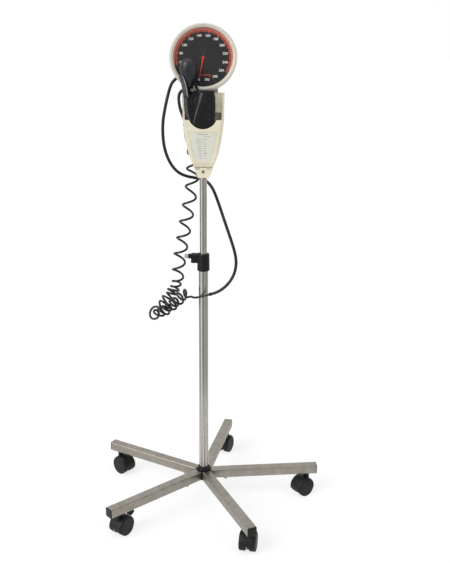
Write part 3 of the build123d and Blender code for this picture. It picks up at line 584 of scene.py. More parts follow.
def coil_route(points_per_turn):
    """Points of the coiled tube's centre line: its turns wound on the smooth axis."""
    knots = [0.0]
    for (start, _, _), (end, _, _) in zip(COIL_STATIONS, COIL_STATIONS[1:]):
        knots.append(knots[-1] + (Vector(end) - Vector(start)).length)
    columns = list(zip(*[(*centre, radius, turns) for centre, radius, turns in COIL_STATIONS]))
    slopes = [track_slopes(knots, values, n > 2) for n, values in enumerate(columns)]

    def read(column, place):
        place = min(max(place, 0.0), knots[-1])
        k = max(i for i in range(len(knots) - 1) if knots[i] <= place)
        gap = knots[k + 1] - knots[k]
        t = (place - knots[k]) / gap
        values = columns[column]
        here = (1 + 2 * t) * (1 - t) ** 2 * values[k] + t * (1 - t) ** 2 * gap * slopes[column][k]
        return here + t * t * (3 - 2 * t) * values[k + 1] + t * t * (t - 1) * gap * slopes[column][k + 1]

    def axis_at(place):
        return Vector([read(n, place) for n in range(3)])

    def point_at(place):
        along = (axis_at(place + 0.5) - axis_at(place - 0.5)).normalized()
        first = (COIL_REFERENCE - along * COIL_REFERENCE.dot(along)).normalized()
        second = along.cross(first)
        turns = read(4, place)
        angle = 2 * pi * turns
        # A quadratic spline runs inside its points, so the turns are drawn that much wider
        radius = max(0.0, read(3, place)) / cos(pi / points_per_turn)
        # Loose turns of the bunch lean one way and then another
        loose = max(0.0, min(1.0, turns - BUNCH_TURNS[0], BUNCH_TURNS[1] - turns))
        lean = COIL_LEAN * loose * radius / BUNCH_RADIUS * cos(angle - 0.35 * turns - 0.5)
        return axis_at(place) + first * (radius * cos(angle)) + second * (radius * sin(angle)) + along * lean

    places = [0.0, 6.0]
    place = last_place = 6.0
    last_turn = read(4, place)
    while place < knots[-1] - 10:
        place += FINE_STEP
        if read(4, place) - last_turn >= 1 / points_per_turn or place - last_place >= WIDE_STEP:
            places.append(place)
            last_place = place
            last_turn = read(4, place)
    route = [point_at(p) for p in places]
    route[1] = COIL_HEAD + Vector((0, 0, -6))
    return route + [COIL_FOOT - COIL_FOOT_DIRECTION * 6, COIL_FOOT]


def tube_curve(name, route, diameter, finish, node):
    """Tube on a smooth spline whose control points are the route's own points."""
    curve = bpy.data.curves.new(name, "CURVE")
    curve.dimensions = "3D"
    spline = curve.splines.new("NURBS")
    spline.points.add(len(route) - 1)
    for point, place in zip(spline.points, route):
        point.co = (*(Vector(place) / 1000), 1.0)
    spline.order_u = 3
    spline.use_endpoint_u = True
    spline.resolution_u = 6
    spline.use_smooth = True
    curve.bevel_depth = diameter / 2
    curve.bevel_resolution = 6
    curve.use_fill_caps = True
    curve.materials.append(FINISHES[finish])
    piece = link_object(name, curve)
    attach(piece, "mast")
    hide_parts(node)
    return piece


class GAUGESTAND_OT_tubes(bpy.types.Operator):
    """Plain tubes, coiled tube and the connectors between them"""

    bl_idname = "gaugestand.tubes"
    bl_label = "Tubes"

    def execute(self, context):
        sizes = context.scene.gauge_stand_tubes
        plain, wound = sizes.tube_diameter, sizes.coil_diameter
        gauge_tube = tube_curve("gauge_hose", GAUGE_TUBE_ROUTE, plain, "tube_rubber", "gauge_tube")
        cuff_tube = tube_curve("cuff_hose", CUFF_TUBE_ROUTE, plain, "tube_rubber", "cuff_tube")
        route = coil_route(sizes.points_per_turn)
        coil = tube_curve("coiled_hose", route, wound, "coil_urethane", "coiled_tube")
        connector = bmesh.new()
        profile = [(2.2, 0), (3.3, 0.2), (3.4, 3.6), (4.7, 4.1), (4.8, 4.6), (4.8, 7.4), (4.7, 7.9), (3.4, 8.4)]
        profile = rounded(profile + [(3.3, 11.8), (2.2, 12)], 0.3, 2)
        for origin, direction in ((COIL_FOOT, COIL_FOOT_DIRECTION), (COIL_HEAD, (0, 0, 1))):
            turn(connector, profile, 32, place=look_along(origin, direction, (0, 1, 0)))
        finishes, nodes = ["nylon_black"], ["tube_connectors"]
        joints = finish_piece("hose_connectors", connector, finishes, "mast", nodes, "black_plastic")
        return {"FINISHED"}


# Grey of the room round the stand, from behind it by its left and front to behind it again
ROOM_RING = [
    (0.0, 0.62), (0.144, 0.58), (0.20, 0.36), (0.25, 0.16), (0.29, 0.34), (0.335, 0.98), (0.37, 0.74),
    (0.403, 0.50), (0.44, 0.30), (0.47, 0.21), (0.532, 0.27), (0.597, 0.44), (0.66, 0.32), (0.74, 0.34),
    (0.82, 0.42), (0.88, 0.54), (1.0, 0.62),
]
# Grey of the room from the floor up to its ceiling
ROOM_RISE = [(0.0, 0.62), (0.47, 0.6), (0.56, 0.42), (0.72, 0.5), (0.9, 0.8), (1.0, 0.8)]


def room_tones(tree, way):
    """Grey level of the room in a direction from the stand, as shiny surfaces see it: white
    behind the stand, darker round the camera, and a tall window on the left, which draws
    the light and dark lines down the poles."""
    parts = add_node(tree, "SeparateXYZ", {"Vector": way}).outputs
    bearing = calculate(tree, "ARCTAN2", parts["X"], calculate(tree, "MULTIPLY", parts["Y"], -1.0))
    ring = ramp(tree, spread(tree, bearing, -pi, pi), ROOM_RING)
    return mix_colours(tree, 1.0, ring, ramp(tree, parts["Z"], ROOM_RISE), blend_type="MULTIPLY")


def make_floor():
    """A pale matt sheet, white to the camera but for a soft shadow."""
    mesh = bmesh.new()
    bmesh.ops.create_grid(mesh, x_segments=2, y_segments=2, size=40)
    data = bpy.data.meshes.new("floor")
    mesh.to_mesh(data)
    mesh.free()
    paper = bpy.data.materials.new("white_paper_floor")
    tree = empty_tree(paper)
    shown = shown_rays(tree, "Is Camera Ray", "Is Glossy Ray", "Is Transmission Ray")
    matt = add_node(tree, "BsdfDiffuse", {"Color": (0.86, 0.86, 0.86, 1)}).outputs[0]
    sheet = mix_shaders(tree, calculate(tree, "MULTIPLY", shown, 0.62), matt, glow(tree, "Emission", WHITE, 1.18))
    # Shiny surfaces see the white paper near the stand and, from about a metre away, the room's tones glowing in
    # the floor instead: a painted reflection, so that higher up the poles mirror the room
    spot = add_node(tree, "NewGeometry").outputs["Position"]
    away = add_node(tree, "VectorMath", {0: spot}, operation="LENGTH").outputs["Value"]
    share = calculate(tree, "MULTIPLY", shown_rays(tree, "Is Glossy Ray"), spread(tree, away, 0.3, 0.9))
    room = glow(tree, "Emission", room_tones(tree, spot), MIRRORED_STRENGTH)
    add_node(tree, "OutputMaterial", {"Surface": mix_shaders(tree, share, sheet, room)})
    data.materials.append(paper)
    link_object("floor", data)


def make_room(scene, strength):
    """White to the camera, and its tones in reflections."""
    world = bpy.data.worlds.new("white_studio")
    world.cycles.sampling_method = "NONE"
    scene.world = world
    tree = empty_tree(world)
    walls = room_tones(tree, add_node(tree, "TexCoord").outputs["Generated"])
    even = glow(tree, "Background", WHITE, strength)
    mirrored = glow(tree, "Background", walls, MIRRORED_STRENGTH)
    unseen = mix_shaders(tree, shown_rays(tree, "Is Glossy Ray"), even, mirrored)
    seen = shown_rays(tree, "Is Camera Ray", "Is Transmission Ray")
    shown = mix_shaders(tree, seen, unseen, glow(tree, "Background", WHITE, 1.0))
    add_node(tree, "OutputWorld", {"Surface": shown})


class GAUGESTAND_OT_stage(bpy.types.Operator):
    """Camera, floor, room light and lamps"""

    bl_idname = "gaugestand.stage"
    bl_label = "Stage"

    def execute(self, context):
        stage = context.scene.gauge_stand_stage
        camera_data = bpy.data.cameras.new("photo_camera")
        camera_data.lens = stage.focal_length
        camera = link_object("photo_camera", camera_data)
        camera.matrix_world = (
            Matrix.Translation(mm(*CAMERA_PLACE))
            @ Matrix.Rotation(radians(CAMERA_PAN), 4, "Z")
            @ Matrix.Rotation(radians(90) + radians(CAMERA_TILT), 4, "X")
            @ Matrix.Rotation(radians(CAMERA_ROLL), 4, "Z")
        )
        context.scene.camera = camera
        make_floor()
        make_room(context.scene, stage.sky_strength)

        # Far lamps, so that the light is the same all over the floor: bearing, rise and spread
        # in degrees, power, and whether shiny surfaces mirror them
        for name, bearing, rise, width, power, shines in (
            ("key_light", -52, 36, 40, stage.key_power, True),
            ("fill_light", 50, 30, 60, stage.key_power * 0.35, False),
        ):
            lamp_data = bpy.data.lights.new(name, "SUN")
            lamp_data.angle = radians(width)
            lamp_data.energy = power
            lamp = link_object(name, lamp_data)
            side, height = radians(bearing), radians(rise)
            place = Vector((sin(side) * cos(height), -cos(side) * cos(height), sin(height))) * 3
            lamp.location = place
            lamp.rotation_euler = (-place).to_track_quat("-Z", "Y").to_euler()
            lamp.visible_glossy = shines
        context.scene.view_settings.view_transform = "Standard"
        return {"FINISHED"}


def square_loop(half, reach, radius):
    """Rounded square round the X axis, at a reach along it."""
    return [(reach, y, z) for y, z in rounded(rectangle(-half, half, -half, half), radius, 5)]


class GAUGESTAND_OT_base(bpy.types.Operator):
    """Five square arms with caps and bolts, the hub core and the foot collar"""

    bl_idname = "gaugestand.base"
    bl_label = "Base"

    def execute(self, context):
        half = ARM_SIDE / 2
        wall = ((half - 0.3, 20.3), (half, 20.8), (half, 320.7), (half - 0.3, 321.1))
        loops = [square_loop(size, reach, 2.6) for size, reach in wall]
        loops += [square_loop(half * 0.88, reach, 1.4) for reach in (321.1, 20.3)]
        for index in range(ARM_COUNT):
            tube = bmesh.new()
            skin(tube, loops, closed=True)
            name, node = f"square_arm_{index + 1}", f"base_arm_{index + 1}"
            place = arm_turned(index) @ Matrix.Translation(mm(0, 0, ARM_MID))
            finish_piece(name, tube, ["arm_nickel"], "base", [node], "nickel_steel", place)
        caps = bmesh.new()
        # Half size of the cap and reach, from the plug in the tube to the domed face
        sections = [(10.6, 310), (10.7, 321.1), (12.3, 321.15), (12.5, 321.6), (12.4, 322.8), (11.8, 323.3)]
        sections.append((9, 323.55))
        for index in range(ARM_COUNT):
            place = arm_turned(index) @ at(0, 0, ARM_MID)
            skin(caps, [[place @ Vector(p) for p in square_loop(size, reach, 2.4)] for size, reach in sections])
        finish_piece("square_end_caps", caps, ["nylon_black"], "base", ["arm_end_caps"], "black_plastic")

        bolts = bmesh.new()
        head = [(0.01, 0), (7.6, 0), (7.6, -1.4), (5.6, -1.5), (5.7, -6.4), (5, -7.9), (3.2, -8.9), (0.01, -9.2)]
        for index in range(ARM_COUNT):
            turn(bolts, head, 24, False, place=arm_turned(index) @ at(BOLT_REACH, 0, ARM_BOTTOM))
        washer = at(0, 0, ARM_BOTTOM)
        turn(bolts, rounded([(4, 0), (11, 0), (11, -1.6), (4, -1.6)], 0.4), 36, place=washer)
        hexagon = [(0.01, -1.6), (7.3, -1.6), (7.5, -1.9), (7.5, -6), (6.8, -6.6), (0.01, -6.6)]
        turn(bolts, hexagon, 6, False, place=washer)
        finish_piece("arm_bolt_heads", bolts, ["zinc_screw"], "base", ["base_bolts"], "bright_steel")

        ring = [(12.76, 0.05), (17.8, 0.05), (17.8, 3), (16.2, 4), (15.9, 9.4), (15, 10), (12.76, 10)]
        look = ("nylon_black", "base", "foot_collar", "black_plastic")
        turned_piece("pole_foot_collar", rounded(ring, 0.7), 64, True, *look, foot=(0, 0, ARM_TOP))
        dress_node("base_hub", "nylon_black", edge=0.5)
        return {"FINISHED"}


class GAUGESTAND_OT_poles(bpy.types.Operator):
    """Lower and upper pole tubes, the height collar, its knob and its bush"""

    bl_idname = "gaugestand.poles"
    bl_label = "Poles and collar"

    def execute(self, context):
        wall = [(11.2, 75.5), (11.2, 703), (12.7, 703), (12.7, 67.6), (4.1, 67.6), (4.1, 75.5)]
        look = ("pole_stainless", "base", "lower_tube", "chrome_tube")
        turned_piece("lower_pole", rounded(wall, 0.4, 3), 72, True, *look)
        wall = [(8.325, 403), (8.325, 949), (9.525, 949), (9.525, 403)]
        look = ("pole_stainless", "mast", "upper_tube", "chrome_tube")
        turned_piece("upper_pole", rounded(wall, 0.4, 3), 64, True, *look)

        # Height collar: waisted sleeve with its lug
        collar = bmesh.new()
        sleeve = [(12.8, 672), (14.6, 672), (16.3, 673.4), (16.6, 675.4), (16.2, 690), (15.9, 716.4)]
        sleeve += [(15.2, 718), (9.9, 718), (9.9, 706.2), (12.8, 706.2)]
        turn(collar, rounded(sleeve, 0.7, 3), 72)
        lug = []
        for reach, drop in ((-8, 0), (-28, 0), (-31.4, 0.3), (-32.4, 1.4)):
            outline = rectangle(drop - 10, 10.0 - drop, 694.0 + drop, 718.0 - drop)
            lug.append([(reach, y, z) for y, z in rounded(outline, 2.2, 5)])
        skin(collar, lug)
        finish_piece("clamp_collar", collar, ["nylon_black"], "base", ["height_collar"], "black_plastic")

        knob = bmesh.new()
        place = look_along((0, 0, KNOB_HEIGHT), (-1, 0, 0))
        turn(knob, [(0.01, 10), (2.9, 10), (3, 10.4), (3, 33), (0.01, 33)], 24, False, place=place)
        grip = [(3, 32.9), (5.9, 32.9), (6.9, 34), (6.9, 38.4), (6, 39.4), (3, 39.4)]
        turn(knob, rounded(grip, 0.6, 3), 72, place=place, flutes=12, flute_depth=0.7)
        tip = [(0.01, 39.3), (5.7, 39.3), (5.7, 47.2), (5.1, 48.8), (3.6, 49.7), (0.01, 49.8)]
        turn(knob, rounded(tip, 0.5, 3, closed=False), 32, False, slot=1, place=place)
        finishes = ["nylon_black", "acetal_grey"]
        finish_piece("clamp_knob", knob, finishes, "collar_knob", ["collar_knob"], "black_plastic")
        dress_node("guide_bush", "acetal_natural")
        return {"FINISHED"}


class GAUGESTAND_OT_casters(bpy.types.Operator):
    """Five hooded twin-wheel casters, one of them with a brake lever"""

    bl_idname = "gaugestand.casters"
    bl_label = "Casters"

    def execute(self, context):
        axle = at(TRAIL, AXLE_HEIGHT, 0)
        # Hood: its rim as width and radius, and the section that runs over the wheels
        rim = [(20, 24.2), (20, 26.6), (18.9, 28), (16.6, 28.8), (12, 29), (0, 29)]
        section = [(r, w) for w, r in rim] + [(r, -w) for w, r in reversed(rim[:-1])]
        section += [(26.6, -17.6), (26.8, 0), (26.6, 17.6)]
        shell = []
        for n in range(HOOD_STEPS + 1):
            angle = radians(HOOD_START + (HOOD_END - HOOD_START) * n / HOOD_STEPS)
            shell.append([axle @ Vector((r * cos(angle), r * sin(angle), w)) for r, w in section])
        # Web between the wheels, with its rounded foot
        web = [(27.0 * cos(radians(a)), 27.0 * sin(radians(a))) for a in range(-12, 193, 8)]
        web = rounded(web + [(-9, -8.5), (9, -8.5)], 3, 3)
        boss = rounded([(5.05, 47), (8.6, 47), (8, 56), (8, 62.4), (7.4, 62.9), (5.05, 62.9)], 0.5)
        axle_rod = [(0.01, -20.8), (2.9, -20.8), (2.9, 20.8), (0.01, 20.8)]
        # Pin head in the middle of the hood's front
        pin = [(0.01, 28.5), (1.9, 28.5), (1.9, 29.3), (1.3, 29.8), (0.01, 30)]
        pin_place = axle @ Matrix.Rotation(radians(183), 4, "Z") @ Matrix.Rotation(pi / 2, 4, "Y")
        tyre = [(3.06, 20.9), (3.06, 5), (23.6, 5), (25, 6.4), (25, 20.4), (23.4, 22)]
        tyre = rounded(tyre + [(20.9, 22), (20.1, 21.3), (10, 21.9), (0.01, 22.1), (0.01, 20.9)], 0.9, 3)
        for index in range(ARM_COUNT):
            number = index + 1
            stem = arm_turned(index) @ Vector((STEM_REACH, 0, 0))
            # Local axes: x along the trail, y up, z along the axle
            heading = Matrix.Rotation(radians(CASTER_HEADINGS[index]), 4, "Z")
            place = Matrix.Translation(stem / 1000) @ heading @ Matrix.Rotation(pi / 2, 4, "X")
            hood = bmesh.new()
            skin(hood, shell)
            slab(hood, web, (-3.5, 3.5), place=axle)
            turn(hood, boss, 40, place=Matrix.Rotation(-pi / 2, 4, "X"))
            turn(hood, axle_rod, 20, False, slot=1, place=axle)
            turn(hood, pin, 20, False, slot=1, place=pin_place)
            name, node, body = f"caster_hood_{number}", f"caster_housing_{number}", f"caster_{number}"
            finish_piece(name, hood, ["nylon_black", "zinc_screw"], body, [node], "black_plastic", place)
            for side, outward in (("left", -1), ("right", 1)):
                wheel = bmesh.new()
                turn(wheel, [(r, h * outward) for r, h in tyre], 72, place=axle)
                name = f"wheel_{side}_{number}"
                finish_piece(name, wheel, ["wheel_urethane"], name, [f"caster_{name}"], "wheel_plastic", place)
        dress_node("brake_lever", "nylon_black", edge=0.5)
        dress_node("caster_stems", "zinc_screw")
        return {"FINISHED"}


class GAUGESTAND_OT_holder(bpy.types.Operator):
    """Cream basket holder with its card and screws"""

    bl_idname = "gaugestand.holder"
    bl_label = "Holder"

    def execute(self, context):
        dress_node("holder_back", "abs_cream", edge=0.9, sharp=28)
        dress_node("pocket_front", "abs_cream", edge=0.9, sharp=28)
        card = bmesh.new()
        edge = rounded([(-35, 1034.6), (35, 1034.6), (20.6, 963.2), (-20.6, 963.2)], 2.5, 5)
        skin(card, [[(x, y, z) for x, z in edge] for y in (-18.8, CARD_FACE)])
        # Rows of print, too small to read: a heading, then words with a figure beside each
        bars = [(left, right, 1029, 0.9) for left, right in ((-13, -8), (-7, 1), (2, 6), (7, 13))]
        bars += [(left, right, 1023.5, 0.8) for left, right in ((2, 9), (10, 19))]
        for row in range(9):
            height = 1017.5 - row * 5.9
            reach = 17.5 - row * 1.1
            bars += [(-reach, -reach * 0.35, height, 0.9), (-reach * 0.28, -1.5, height, 0.9)]
            bars.append((2.5, 5.0 if row % 3 else 7.5, height, 1.2))
            if row % 2 == 0:
                bars.append((8.2, 10.5, height, 0.9))
        for left, right, height, thick in bars:
            outline = rectangle(left, right, height, height + thick)
            skin(card, [[(x, y, z) for x, z in outline] for y in (CARD_FACE + 0.01, PRINT_FACE)], slot=1)
        finish_piece("holder_card", card, ["card", "ink_dark"], "mast", (), "cream_plastic")

        screws = bmesh.new()
        pan = [(0.01, 2.2), (1.6, 2.15), (3, 1.8), (3.8, 1), (4, 0.3), (3.9, 0), (0.01, 0)]
        for centre, facing in (((0, -15.15, 936), -1), ((-24, 24.2, 1108), 1), ((24, 24.2, 1108), 1)):
            place = look_along(centre, (0, facing, 0))
            turn(screws, rounded(pan, 0.3, 2, closed=False), 36, False, place=place)
            for angle in (0.3, 0.3 + pi / 2):
                cross = place @ Matrix.Rotation(angle, 4, "Z")
                slab(screws, rectangle(-2.3, 2.3, -0.45, 0.45), (1.2, 2.24), 1, cross)
        finishes = ["zinc_screw", "nylon_black"]
        finish_piece("holder_screw_heads", screws, finishes, "mast", ["holder_screws"], "bright_steel")
        return {"FINISHED"}


class GAUGESTAND_OT_gauge(bpy.types.Operator):
    """Gauge case, bezel, window, bracket and hose port"""

    bl_idname = "gaugestand.gauge"
    bl_label = "Gauge case"

    def execute(self, context):
        case = [(0.01, -34), (58, -34), (62, -32.6), (79, -8), (79, 5), (76.8, 5)]
        case = rounded(case + [(76.6, -7.6), (60.6, -31.4), (0.01, -31.4)], 1.6, 4, closed=False)
        ring = [(79.1, -6.5), (83.2, -6.5), (84, 4.6), (83.4, 7.6), (82, 9.9), (80.2, 11.2), (78.9, 11.3)]
        ring = rounded(ring + [(77.6, 10.4), (74.2, 7.9), (73.5, 7.2), (73.5, 5.05), (79.1, 5.05)], 0.6, 3)
        pane = rounded([(0.01, 3.2), (76.3, 3.2), (76.3, 5), (0.01, 5)], 0.3, 2, closed=False)
        for name, profile, steps, closed, finish, node, slot in (
            ("gauge_case", case, 120, False, "abs_grey", "gauge_housing", "gauge_grey"),
            ("gauge_bezel_ring", ring, 144, True, "abs_grey", "gauge_bezel", "gauge_grey"),
            ("gauge_window", pane, 120, False, "window", "gauge_lens", "clear_window"),
        ):
            turned_piece(name, profile, steps, closed, finish, "mast", node, slot, place=DIAL_PLACE)

        dress_node("gauge_bracket", "bracket_paint", edge=0.8)
        port = bmesh.new()
        barb = [(0.01, 0), (3.4, 0), (3.4, 10.2), (4.6, 10.5), (4.8, 11), (4.8, 12), (4.6, 12.4), (3.4, 12.6)]
        barb += [(3.3, 15), (0.01, 15)]
        turn(port, barb, 32, False, place=look_along(PORT_TIP - PORT_DIRECTION * 15, PORT_DIRECTION))
        finish_piece("hose_port", port, ["nickel_fitting"], "mast", ["gauge_port"], "bright_steel")
        for node in ("movement_frame", "pressure_capsule", "sector_gear", "pointer_pinion"):
            dress_node(node, "clock_brass")
        return {"FINISHED"}


def dial_point(radius, clockwise):
    """Point on the dial at an angle clockwise from its top, in degrees."""
    angle = radians(90 - clockwise)
    return Vector((radius * cos(angle), radius * sin(angle)))


def scale_angle(reading):
    """Angle of a reading on the scale, clockwise from the dial's top."""
    return reading * 2 * SCALE_START / FULL_SCALE - SCALE_START


def written(words, size, offset, centre):
    """Mesh of some words, a little raised, at a point of the dial."""
    text = bpy.data.curves.new("number", "FONT")
    text.body = words
    text.size = size / 1000
    text.align_x = "CENTER"
    text.align_y = "CENTER"
    text.extrude = 0.00004
    text.offset = offset
    text.resolution_u = 3
    writing = link_object("number", text)
    writing.location = (centre.x / 1000, centre.y / 1000, 0.00008)
    bpy.context.view_layer.update()
    outline = bpy.data.meshes.new_from_object(writing.evaluated_get(bpy.context.evaluated_depsgraph_get()))
    outline.transform(writing.matrix_world)
    bpy.data.objects.remove(writing)
    return outline


class GAUGESTAND_OT_dial(bpy.types.Operator):
    """Dial plate with its band, ticks and numbers, and the pointer"""

    bl_idname = "gaugestand.dial"
    bl_label = "Dial and pointer"

    def execute(self, context):
        dial = bmesh.new()
        turn(dial, [(1.4, -1), (76.3, -1), (76.3, 0), (62.8, 0), (1.4, 0)], 144)
        # The band runs out to a point at both ends
        arc = []
        first, last, taper = BAND_RANGE
        for n in range(121):
            clockwise = first + (last - first) * n / 120
            inner = 69.2 + 6.2 * max(0, 1 - min(clockwise - first, last - clockwise) / taper)
            out = dial_point(1, clockwise).to_3d()
            section = ((inner, 0), (inner, BAND_FACE), (BAND_EDGE, BAND_FACE), (BAND_EDGE, 0))
            arc.append([out * r + Vector((0, 0, h)) for r, h in section])
        skin(dial, arc, slot=1)
        for step in range(0, FULL_SCALE + 1, 2):
            clockwise = scale_angle(step)
            start, end, wide = 64.6, 68.8, 1.1
            if step % 10 == 0:
                start, wide = 63.4, 1.4
            if step % 20 == 0:
                start, wide = 62.6, 2.0
            # On the band a white tick and a fine pale line; elsewhere one dim tick
            marks = [(start + 5, end + 4, wide / 2, 3)]
            if first + taper / 2 < clockwise < last - taper / 2:
                marks = [(start, end, wide, 1), (70, 75.4, 0.55, 2)]
            along = dial_point(1, clockwise)
            for near, far, width, slot in marks:
                across = Vector((-along.y, along.x)) * width / 2
                near, far = along * near, along * far
                corners = [near - across, far - across, far + across, near + across]
                slab(dial, corners, (0.05, 0.1), slot)
        finishes = ["dial_black", "ink_orange", "ink_white", "ink_dark"]
        finish_piece("dial_plate", dial, finishes, "mast", ["gauge_dial"], "dial_black", DIAL_PLACE)

        numbers = bmesh.new()
        readings = range(0, FULL_SCALE + 1, 20)
        labels = [(str(n), 8.6, 0.00016, dial_point(55.4, scale_angle(n)), 0) for n in readings]
        labels.append(("mmHg", 9.8, -0.0001, Vector((6.5, -43)), 1))
        for words, size, offset, centre, slot in labels:
            count = len(numbers.faces)
            numbers.from_mesh(written(words, size, offset, centre))
            numbers.faces.ensure_lookup_table()
            for face in numbers.faces[count:]:
                face.material_index = slot
        finish_piece("dial_numbers", numbers, ["ink_white", "ink_orange"], "mast", (), "dial_black", DIAL_PLACE)

        pointer = bmesh.new()
        blade = [(-3, 2.2), (3.2, 2), (14, 1.3), (53.4, 0.5), (53.4, -0.5), (14, -1.3), (3.2, -2), (-3, -2.2)]
        tail = [(-3, 0.85), (-3, -0.85), (-18.8, -0.5), (-18.8, 0.5)]
        at_zero = Matrix.Rotation(radians(90 + SCALE_START), 4, "Z")
        slab(pointer, rounded(blade, 0.6, 3), (1, 1.7), 0, at_zero)
        slab(pointer, tail, (1.05, 1.65), 1, at_zero)
        hub = [(0.01, 0.95), (3.4, 0.95), (3.4, 1.7), (3.1, 1.95), (2.2, 2), (2.1, 2.4), (1.4, 2.6), (0.01, 2.62)]
        turn(pointer, hub, 48, False)
        finishes = ["pointer_lacquer", "ink_dark"]
        finish_piece("gauge_pointer", pointer, finishes, "pointer", ["pointer"], "pointer_orange", DIAL_PLACE)
        return {"FINISHED"}


# Layers of the folded cuff, in millimetres: height, left, right, front, back
CUFF_BODY = [
    (968, -17, 15.5, -12, 11), (1000, -30, 26, -14, 13), (1045, -30, 29, -14.5, 12),
    (1066, -29, 29.5, -14, 10), (1080, -29, 30, -16, -1.5), (1100, -29, 30.5, -20, -1.5),
    (1118, -28, 30.5, -28, -2), (1127, -27, 29.5, -30, -5), (1134, -26, 28.5, -32, -24),
]
CUFF_ROLL = [
    (1010, -33, -14, -14.5, 9), (1045, -36.2, -15, -15, 10), (1066, -39, -17, -15, 6),
    (1080, -44.5, -21, -20, -1.5), (1100, -46.5, -23.5, -25, -2), (1118, -47.5, -26, -33, -9),
    (1127, -44.5, -29, -33, -13),
]
CUFF_FLAP = [
    (1030, -28, 29, -14.6, -7), (1047, -27, 29.5, -15, -8), (1066, -23, 30, -15.4, -8),
    (1080, -19.5, 31, -20.5, -12), (1100, -14, 31.5, -26.5, -18), (1119, -9, 31, -34.5, -27),
    (1130, -6.5, 30, -36, -29.5), (1137, -5, 28.5, -36.5, -31),
]
CUFF_CORNER = [
    (1108, -27, -8, -30, -22), (1128, -27, -8.5, -28, -21.8), (1142, -26.5, -10, -27.2, -21.8),
    (1152, -25, -13, -26.6, -22), (1159, -22, -16, -25.6, -22.6),
]
CUFF_BACK = [(1100, -36, -20, -20, -8), (1127, -36.5, -24, -19, -9), (1135.5, -34.5, -26, -18, -12)]
# Layers with the rounding of their corners
CUFF_LAYERS = [(CUFF_BODY, 6), (CUFF_ROLL, 10.5), (CUFF_FLAP, 3.2), (CUFF_CORNER, 2.4), (CUFF_BACK, 2.4)]
# Ridges and grooves pressed in its face: foot and head of each, its width and height
CUFF_PLEATS = [
    ((-17, 1088), (-15, 1122), 2.2, 3), ((-28, 1070), (-31, 1122), 4, -1.8),
    ((1, 1112), (6, 1140), 2, -2.4), ((9, 1106), (12, 1140), 2.6, 1.1), ((20, 1052), (24, 1128), 5, 0.8),
    ((-44, 1060), (-45, 1120), 2.4, 0.8),
]
STRAP_LINE = [
    (-41, -26, 1117), (-41.3, -30.5, 1123.5), (-41.9, -35, 1129), (-42.6, -37.5, 1135), (-44, -39.5, 1144),
    (-46, -40.8, 1154), (-48.8, -42, 1163), (-51, -42.8, 1169),
]
# Inner layer of the cuff behind the bulb's neck: height and depth
LEAF_LINE = [(1128, -20.9), (1139, -20.7), (1143, -20), (1149, -18.6), (1155, -16.8), (1159, -15.7)]
# How far the cloth may puff out at each height, and the frames it is given
CUFF_PUFF = [(0, 0.8), (1076, 0.9), (1094, 3.4), (1114, 3.4), (1126, 1.2), (1200, 1)]
CLOTH_FRAMES = 20
STRAP_HALF = 6.0
TAPE_THICKNESS = 0.9


def between(rows, level, column):
    """Value of a column of the rows at a height."""
    for low, high in zip(rows, rows[1:]):
        if level <= high[0]:
            break
    t = min(1, max(0, (level - low[0]) / (high[0] - low[0])))
    return low[column] + (high[column] - low[column]) * t


def swell(piece, pressure, cap):
    """Blow a cloth shell up a little so that it puckers; cap gives how far, in millimetres, a
    point may move at its height."""
    before = [vertex.co.copy() for vertex in piece.data.vertices]
    cloth = piece.modifiers.new("Cloth", "CLOTH")
    cloth.settings.quality = 5
    cloth.settings.mass = 0.2
    cloth.settings.tension_stiffness = 12
    cloth.settings.bending_stiffness = 0.4
    cloth.settings.shrink_min = -0.07
    cloth.settings.use_pressure = True
    cloth.settings.uniform_pressure_force = pressure
    cloth.settings.effector_weights.gravity = 0
    cloth.point_cache.frame_end = CLOTH_FRAMES
    for frame_number in range(1, CLOTH_FRAMES + 1):
        bpy.context.scene.frame_set(frame_number)
    apply_modifiers(piece)
    bpy.context.scene.frame_set(1)
    for vertex, start in zip(piece.data.vertices, before):
        move = vertex.co - start
        limit = between(cap, start.z * 1000, 1) / 1000
        if move.length > limit:
            vertex.co = start + move * (limit / move.length)


def pleat(x, level):
    """How far the pressed ridges and grooves move the cuff's face, in millimetres."""
    moved = 0.0
    for (foot_x, foot), (head_x, head), width, rise in CUFF_PLEATS:
        t = (level - foot) / (head - foot)
        if 0 < t < 1:
            away = (x - foot_x - (head_x - foot_x) * t) / width
            moved += rise * exp(-away * away) * min(1, 4 * t, 4 * (1 - t))
    return moved


def cuff_surface(tree, x, level, proud):
    """Point just in front of the cuff's face."""
    hit = tree.ray_cast(mm(x, -90, level), Vector((0, 1, 0)))[0]
    return hit * 1000 + Vector((0, -proud, 0)) if hit else Vector((x, -20, level))


def tape_loop(points):
    """Section of a tape that lies over these points."""
    return points + [point + Vector((0, TAPE_THICKNESS, 0)) for point in reversed(points)]


def strap_section(centre, half, bound=False):
    """Cross-section of the webbing, two layers with thicker woven edges, or of the pale
    binding along its right edge, whose paleness is a painted highlight line."""
    if bound:
        outline = rectangle(half - 1.2, half + 0.4, 1.2, -1.4)
    else:
        outline = [(-half, -0.9), (-half + 1, -1.3), (-half + 2, -0.9), (half - 2, -0.9), (half - 1, -1.3)]
        outline += [(half, -0.9), (half, 0.9), (-half, 0.9)]
    return [centre + Vector((0.93, -0.36, 0)) * a + Vector((-0.36, -0.93, 0)) * -b for a, b in outline]


